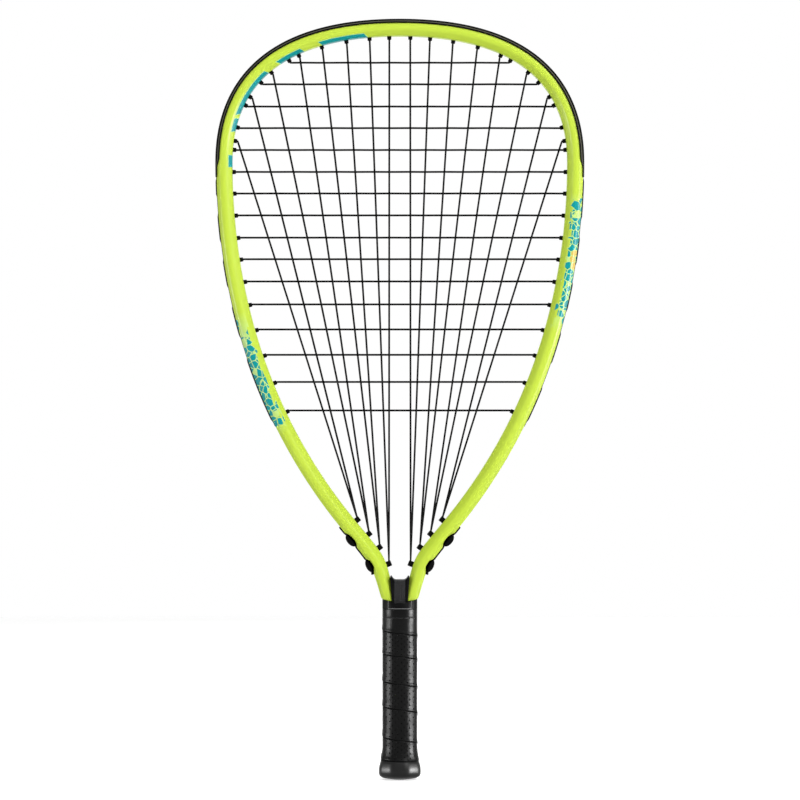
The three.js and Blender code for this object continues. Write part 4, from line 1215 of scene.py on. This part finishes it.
def weave_path(start, end, crossings):
    """Points from start to end that rise and fall at the crossings, given as (share, level)."""
    inner = [knot for knot in sorted(crossings) if least_crossing_share < knot[0] < 1 - least_crossing_share]
    knots = [(0.0, start.y), *inner, (1.0, end.y)]
    points = []
    for (share, level), (next_share, next_level) in zip(knots, knots[1:]):
        for step in range(WEAVE_STEPS):
            t = step / WEAVE_STEPS
            point = start.lerp(end, lerp(share, next_share, t))
            point.y = lerp(level, next_level, (1 - math.cos(math.pi * t)) / 2)
            points.append(point)
    return points[1:]


def weave_main(start, end, number):
    """A main between its two tips, over and under the crosses that reach it."""
    crossings = []
    for row, height in enumerate(cross_heights):
        share = (height - start.z) / (end.z - start.z)
        if abs(start.lerp(end, share).x) < place(cross_arcs[row], -tip_reach, 0).x:
            crossings.append((share, main_level(number, row)))
    return weave_path(start, end, crossings)


def weave_cross(start, end, row):
    """A cross between its two tips, over and under the mains that reach it."""
    crossings = []
    for side in (-1, 1):
        for number in range(1, len(main_arcs) + 1):
            top_arc, throat_hole = main_holes(side, number)
            top = place(top_arc, -tip_reach, 0)
            bottom = place(throat_hole, -throat_tip_reach, 0)
            if bottom.z < start.z < top.z:
                x = top.lerp(bottom, (start.z - top.z) / (bottom.z - top.z)).x
                level = -main_level(main_place(side, number), row)
                crossings.append(((x - start.x) / (end.x - start.x), level))
    return weave_path(start, end, crossings)


def main_runs():
    """The mains in the order in which one string makes them."""
    runs = []
    for side, order in ((-1, LEFT_MAINS), (1, RIGHT_MAINS)):
        for down, number in order:
            top_arc, throat_hole = main_holes(side, number)
            top = (top_arc, -LANE, tip_reach)
            foot = (throat_hole, LANE if number % 2 else -LANE, throat_tip_reach)
            ends = (top, foot) if down else (foot, top)
            runs.append((*ends, main_place(side, number)))
    return runs


def cross_runs():
    runs = []
    for row, arc in enumerate(cross_arcs):
        start = arc if row % 2 else -arc
        runs.append(((start, LANE, tip_reach), (-start, LANE, tip_reach), row))
    return runs


def make_strings(material):
    for name, runs, weave in (("main", main_runs(), weave_main), ("cross", cross_runs(), weave_cross)):
        add_piece(f"{name}_string_woven", [thread(runs, weave)], material, f"{name}_string")


# Handle

def octagon(half_width, half_depth, bevel, bevel_depth):
    side = half_depth - bevel_depth
    face = half_width - bevel
    corners = (
        (half_width, -side), (half_width, side), (face, half_depth), (-face, half_depth),
        (-half_width, side), (-half_width, -side), (-face, -half_depth), (face, -half_depth),
    )
    return [Vector(corner) for corner in corners]


handle_ring = octagon(HANDLE_WIDTH / 2, HANDLE_DEPTH / 2, HANDLE_BEVEL, HANDLE_BEVEL_DEPTH)
pallet_ring = inset_ring(handle_ring, WRAP_THICKNESS + CLEARANCE)


def soft_octagon(proud, radius=HANDLE_ROUND):
    """The handle's outline, at a distance from the pallet, with rounded corners."""
    return rounded(inset_ring(pallet_ring, -proud), radius, HANDLE_STEPS)


def cap_proud(height):
    """How far the cap's sleeve, and the wrap over it, stand out from the pallet at a height."""
    return SLEEVE_FLARE * clamp((SLEEVE_TOP - height) / (SLEEVE_TOP - WRAP_BOTTOM)) ** FLARE_POWER


def make_collar(material):
    """A smooth band round the top of the wrap, with soft edges."""
    top = YOKE_BOTTOM - CLEARANCE / 2
    profile = plate(
        CLEARANCE, CLEARANCE + WRAP_THICKNESS, top - COLLAR_HEIGHT, top, COLLAR_ROUND, FINE_STEPS,
    )
    columns = [level_ring(soft_octagon(proud), height) for proud, height in profile]
    add_piece("collar_band", [loft(columns, looped=True)], material, "grip_collar")


def girth_line(proud):
    """The handle's outline from the middle of its front, round by the right and back."""
    ring = soft_octagon(proud)
    corner = HANDLE_STEPS + 1
    middle = (ring[-corner] + ring[-corner - 1]) / 2
    return [middle, *ring[-corner:], *ring[:-corner], middle]


def girth_places(offsets):
    """Points of the pallet about each column of holes, with their move for each metre of stand-out."""
    inner = girth_line(0.0)
    outer = girth_line(PALLET_PROBE)
    lengths = [0.0]
    for before, after in zip(inner, inner[1:]):
        lengths.append(lengths[-1] + (after - before).length)
    places = []
    for column in range(HOLE_COLUMNS):
        for offset in offsets:
            spot = lengths[-1] * (column + 0.5) / HOLE_COLUMNS + offset
            index = clamp(bisect.bisect_right(lengths, spot) - 1, 0, len(inner) - 2)
            share = (spot - lengths[index]) / (lengths[index + 1] - lengths[index])
            base = inner[index].lerp(inner[index + 1], share)
            over = outer[index].lerp(outer[index + 1], share)
            places.append((base, (over - base) / PALLET_PROBE))
    return places


def lap_height(turn):
    """Height of the wrap's lower edge after a number of turns; it runs more level at the front."""
    index = min(int(turn), len(LAP_HEIGHTS) - 2)
    share = turn - index
    share -= level_share * math.sin(2 * math.pi * share) / (2 * math.pi)
    return lerp(LAP_HEIGHTS[index], LAP_HEIGHTS[index + 1], share)


def hole_depth(along, rise):
    """Depth of a perforation at a place beside its middle."""
    return HOLE_DEPTH * math.sqrt(clamp(1 - (along * along + rise * rise) / HOLE_RADIUS**2))


def wrap_profile(pitch, offsets, along, odd, pierced):
    """The strip across: (stand-out, rise above its lower edge, share of a hole's depth), closed."""
    crest = WRAP_THICKNESS + WRAP_RIDGE
    cut = wrap_corner_share * WRAP_ROUND
    lower = (
        (WRAP_UNDER, 0.0), (crest - WRAP_ROUND, 0.0), (crest - cut, cut), (crest, WRAP_ROUND),
        (crest, WRAP_SHOULDER),
    )
    upper = (
        (WRAP_THICKNESS, pitch - 2 * WRAP_GROOVE), (WRAP_THICKNESS - WRAP_ROUND, pitch - WRAP_GROOVE),
        (WRAP_EDGE, pitch - WRAP_GROOVE / 3), (WRAP_EDGE, pitch + WRAP_OVERLAP),
        (0.0, pitch + WRAP_OVERLAP), (0.0, WRAP_OVERLAP + CLEARANCE), (WRAP_UNDER, WRAP_OVERLAP),
    )
    profile = [(out, rise, 0.0) for out, rise in lower]
    for row in range(HOLE_ROWS):
        middle = lerp(HOLE_MARGIN, pitch - HOLE_MARGIN, row / (HOLE_ROWS - 1))
        for offset in offsets:
            rise = middle + offset
            depth = hole_depth(along, offset) if pierced and (row % 2 == 1) == odd else 0.0
            out = crest - WRAP_RIDGE * ease(rise / WRAP_OVERLAP) - depth
            profile.append((out, rise, depth / HOLE_DEPTH))
    return profile + [(out, rise, 0.0) for out, rise in upper]


def make_wrap(material):
    """One perforated strip wound round the handle, each turn over the thin upper edge of the one below."""
    offsets = [share * HOLE_RADIUS for share in hole_point_shares]
    places = girth_places(offsets)
    rings = []
    marks = []
    for turn in range(1, len(LAP_HEIGHTS) - 1):
        for station, (base, outward) in enumerate(places):
            turns = turn + station / len(places)
            low = lap_height(turns)
            column, point = divmod(station, len(offsets))
            pitch = lap_height(turns - 1) - low
            pierced = turns > FIRST_PIERCED_TURN
            profile = wrap_profile(pitch, offsets, offsets[point], column % 2 == 1, pierced)
            ring = []
            for out, rise, depth in profile:
                height = low + rise
                spot = base + outward * (cap_proud(height) + CLEARANCE + out)
                swell = noise.noise(Vector((*spot, height)) / WRAP_SWELL_SIZE) * WRAP_SWELL
                ring.append(Vector((*(spot + outward * swell), height)))
                # The share of a hole's depth, which the leather turns into painted shade
                marks.append((depth, 0.0, 0.0))
            rings.append(ring)
    trims = ((WRAP_TOP, 1), (WRAP_BOTTOM, -1))
    add_piece("grip_strip_wound", [loft(rings)], material, "grip_wrap", marks, trims)


def carve(piece, cutters):
    """Cut closed surfaces out of a piece."""
    for points, faces in cutters:
        mesh = new_mesh("cutter", points, faces)
        tidy_mesh(mesh)
        tool = new_object("cutter", mesh)
        change = piece.modifiers.new("cut", "BOOLEAN")
        change.operation = "DIFFERENCE"
        change.solver = "EXACT"
        change.object = tool
        bpy.context.view_layer.update()
        result = bpy.data.meshes.new_from_object(piece.evaluated_get(bpy.context.evaluated_depsgraph_get()))
        piece.modifiers.remove(change)
        piece.data = result
        bpy.data.objects.remove(tool)
    tidy_mesh(piece.data)


def make_butt_cap(material):
    """A flared cup with a domed end and two openings for a wrist cord."""
    sections = [(CAP_FLOOR, -SLEEVE_WALL), (SLEEVE_TOP, -SLEEVE_WALL)]
    sections += [(height, cap_proud(height)) for height in spread(SLEEVE_TOP, WRAP_BOTTOM, TUBE_STEP)]
    sections += CAP_RINGS
    shell = loft([level_ring(soft_octagon(proud, CAP_ROUND), height) for height, proud in sections])
    piece = add_piece("butt_cap_moulded", [shell], material, "butt_cap")
    cutters = []
    for side in (-1, 1):
        near = side * LANYARD_BRIDGE / 2
        far = near + side * LANYARD_WIDTH
        outline = plate(near, far, -LANYARD_LENGTH / 2, LANYARD_LENGTH / 2, LANYARD_ROUND, FINE_STEPS)
        cutters.append(loft([level_ring(outline, height) for height in (-CAP_FLOOR, 2 * CAP_FLOOR)]))
    carve(piece, cutters)


# Yoke

def yoke_web():
    """The web between the legs: a saddle between two horns, with a sunken panel on both faces."""
    faces = (
        (0.0, YOKE_FRONT - YOKE_ROUND), (YOKE_ROUND / 4, YOKE_FRONT - YOKE_ROUND / 4),
        (YOKE_ROUND, YOKE_FRONT), (YOKE_BORDER, YOKE_FRONT),
        (YOKE_BORDER + YOKE_ROUND / 2, YOKE_FRONT - YOKE_PANEL_DEPTH),
    )
    radii = (YOKE_ROUND, YOKE_ROUND, YOKE_SHOULDER_ROUND, YOKE_ROUND, YOKE_SADDLE_ROUND)
    rings = []
    for shrink, y in [(shrink, -y) for shrink, y in reversed(faces)] + list(faces):
        foot = YOKE_FOOT_HALF_WIDTH - shrink
        half = (
            (foot, YOKE_BOTTOM + YOKE_ROUND), (foot, NECK_HEIGHT),
            (YOKE_TOP_HALF_WIDTH - shrink, YOKE_PEAK_HEIGHT - YOKE_SHOULDER_DROP - shrink),
            (YOKE_PEAK_HALF_WIDTH - shrink, YOKE_PEAK_HEIGHT - 1.5 * shrink),
            (YOKE_SADDLE_HALF_WIDTH - shrink / 2, YOKE_SADDLE_HEIGHT + YOKE_ROUND - shrink),
        )
        rings.append([Vector((x, y, z)) for x, z in two_sided(half, radii, FINE_STEPS, flip=(-1, 1))])
    return loft(rings)


def skirt_top(x):
    """Height of the skirt's upper edge, on two planes that climb outwards."""
    return NECK_HEIGHT - CLEARANCE + (abs(x) - NECK_HALF_GAP) * math.tan(NECK_LEAN)


def yoke_skirt():
    """The sleeve round both legs, in line with the wrap below it."""
    proud = WRAP_THICKNESS + CLEARANCE
    foot = soft_octagon(proud - YOKE_FOOT_INSET)
    rings = [level_ring(foot, YOKE_BOTTOM - YOKE_FOOT_DROP), level_ring(foot, YOKE_BOTTOM)]
    rings.append(level_ring(soft_octagon(proud), YOKE_BOTTOM))
    for inset, drop in ((0.0, YOKE_ROUND), (YOKE_ROUND / 4, YOKE_ROUND / 4), (YOKE_ROUND, 0.0)):
        rings.append([Vector((x, y, skirt_top(x) - drop)) for x, y in soft_octagon(proud - inset)])
    return loft(rings)


def upright_ridge(x, half_width, front, height, low, high, side=1):
    """A slim rounded ridge up a face that looks to the front, or to the back for a side of -1."""
    outline = (
        (-half_width, 0.0), (-half_width / 2, -height), (half_width / 2, -height), (half_width, 0.0),
    )
    ends = (
        (low, ridge_end_share), (low + half_width, 1.0), (high - half_width, 1.0), (high, ridge_end_share),
    )
    rings = []
    for z, share in ends:
        ring = [(x + along * share, front + depth * share) for along, depth in outline]
        ring += [(x + half_width, front + height), (x - half_width, front + height)]
        rings.append([Vector((place_x, side * y, z)) for place_x, y in ring])
    return loft(rings)


def make_yoke(material):
    """The bridge between the legs: a web with ribbed panels, and a skirt with seams beside its front."""
    shells = [yoke_web(), yoke_skirt()]
    reach = YOKE_FOOT_HALF_WIDTH - YOKE_BORDER - 3 * YOKE_RIB_HALF_WIDTH
    panel = YOKE_PANEL_DEPTH - YOKE_FRONT
    top = YOKE_SADDLE_HEIGHT - YOKE_BORDER - YOKE_ROUND
    for index in range(YOKE_RIBS):
        x = lerp(-reach, reach, index / (YOKE_RIBS - 1))
        for side in (-1, 1):
            rib = upright_ridge(x, YOKE_RIB_HALF_WIDTH, panel, YOKE_RIB_HEIGHT, NECK_HEIGHT, top, side)
            shells.append(rib)
    low = YOKE_BOTTOM + YOKE_ROUND
    high = skirt_top(SEAM_PLACE) - YOKE_ROUND
    for x in (-SEAM_PLACE, SEAM_PLACE):
        shells.append(upright_ridge(x, SEAM_HALF_WIDTH, -HANDLE_DEPTH / 2, SEAM_HEIGHT, low, high))
    add_piece("yoke_moulded", shells, material, "throat_yoke")


# Camera, light and floor

def add_camera():
    data = bpy.data.cameras.new("camera")
    data.sensor_width = SENSOR_WIDTH
    data.lens = SENSOR_WIDTH * (CAMERA_DISTANCE - OUTLINE_DEPTH) / (IMAGE_WIDTH * METRES_PER_PIXEL)
    data.clip_start = CAMERA_DISTANCE / 100
    data.clip_end = CAMERA_DISTANCE * 10
    camera = new_object("camera", data)
    x = (IMAGE_WIDTH / 2 - MIDDLE_COLUMN) * METRES_PER_PIXEL
    z = (BOTTOM_ROW - IMAGE_WIDTH / 2) * METRES_PER_PIXEL
    camera.location = (x, -CAMERA_DISTANCE, z)
    camera.rotation_euler = (math.pi / 2, 0, 0)
    bpy.context.scene.camera = camera


def add_lamp(name, spot, size, power, diffuse, glossy, aim_height):
    data = bpy.data.lights.new(name, "AREA")
    data.shape = "RECTANGLE"
    data.size, data.size_y = size
    data.energy = power
    lamp = new_object(name, data)
    lamp.location = spot
    lamp.rotation_euler = (Vector((0, 0, aim_height)) - Vector(spot)).to_track_quat("-Z", "Y").to_euler()
    lamp.visible_diffuse = diffuse
    lamp.visible_glossy = glossy


def camera_sees(tree):
    """1 for rays that show the background: straight, mirrored or seen through glass."""
    path = tree.nodes.new("ShaderNodeLightPath")
    total = path.outputs["Is Camera Ray"]
    for name in ("Is Glossy Ray", "Is Transmission Ray"):
        node = tree.nodes.new("ShaderNodeMath")
        node.operation = "MAXIMUM"
        tree.links.new(total, node.inputs[0])
        tree.links.new(path.outputs[name], node.inputs[1])
        total = node.outputs[0]
    return total


def add_world():
    """Dim even light on the racket, and white for the rays that show the background."""
    world = bpy.data.worlds.new("studio")
    world.use_nodes = True
    bpy.context.scene.world = world
    tree = world.node_tree
    background = tree.nodes["Background"]
    mix = tree.nodes.new("ShaderNodeMix")
    mix.inputs[2].default_value = WORLD_LIGHT
    mix.inputs[3].default_value = 1.0
    tree.links.new(camera_sees(tree), mix.inputs[0])
    tree.links.new(mix.outputs[0], background.inputs["Strength"])
    background.inputs["Color"].default_value = (1, 1, 1, 1)


def add_floor():
    """A pale floor that reads white, and keeps the racket's soft shadow."""
    corners = [(x * FLOOR_HALF, y * FLOOR_HALF, 0) for x, y in ((-1, -1), (1, -1), (1, 1), (-1, 1))]
    mesh = new_mesh("floor", corners, [(0, 1, 2, 3)])
    shader = Shader("pale_floor")
    shader.set(Base_Color=shader.greys(shader.noise(scale=3.0), dark=236, light=240), Roughness=0.8)
    strength = shader.both(camera_sees(shader.tree), FLOOR_GLOW)
    glow = shader.node("Emission", Color=(1, 1, 1, 1), Strength=strength)
    total = shader.node("AddShader")
    for socket, part in zip(total.inputs, (shader.surface, glow)):
        shader.feed(socket, part.outputs[0])
    shader.feed(shader.tree.nodes["Material Output"].inputs["Surface"], total.outputs[0])
    mesh.materials.append(shader.material)
    floor = new_object("floor", mesh)


def dress_node(name, material):
    """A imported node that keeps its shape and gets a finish."""
    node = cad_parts[name]
    node.data.materials.clear()
    node.data.materials.append(material)


guard = moulded_material("guard_plastic", dark=1, light=6, roughness=(0.4, 0.51), shine=0.05)
rubber = moulded_material("collar_rubber", dark=4, light=11, roughness=(0.25, 0.36), shine=0.08)
cap_rubber = moulded_material("cap_rubber", dark=6, light=15, roughness=(0.29, 0.4), shine=0.2)
foam = foam_material()
steel = steel_material()

add_camera()
for name, settings in LAMPS.items():
    add_lamp(name, *settings)
add_world()
add_floor()
make_frame(paint_material())
make_bumper(bumper_material())
make_crown_strip(guard)
for side in (-1, 1):
    make_side_strip(side, guard)
    make_throat_strip(side, guard)
make_strings(string_material())
for end in ("front", "back"):
    dress_node(f"pallet_{end}", foam)
    dress_node(f"butt_cap_tack_{end}", steel)
make_yoke(yoke_material())
make_wrap(wrap_material())
make_collar(rubber)
make_butt_cap(cap_rubber)

scene = bpy.context.scene
scene.view_settings.view_transform = "Standard"
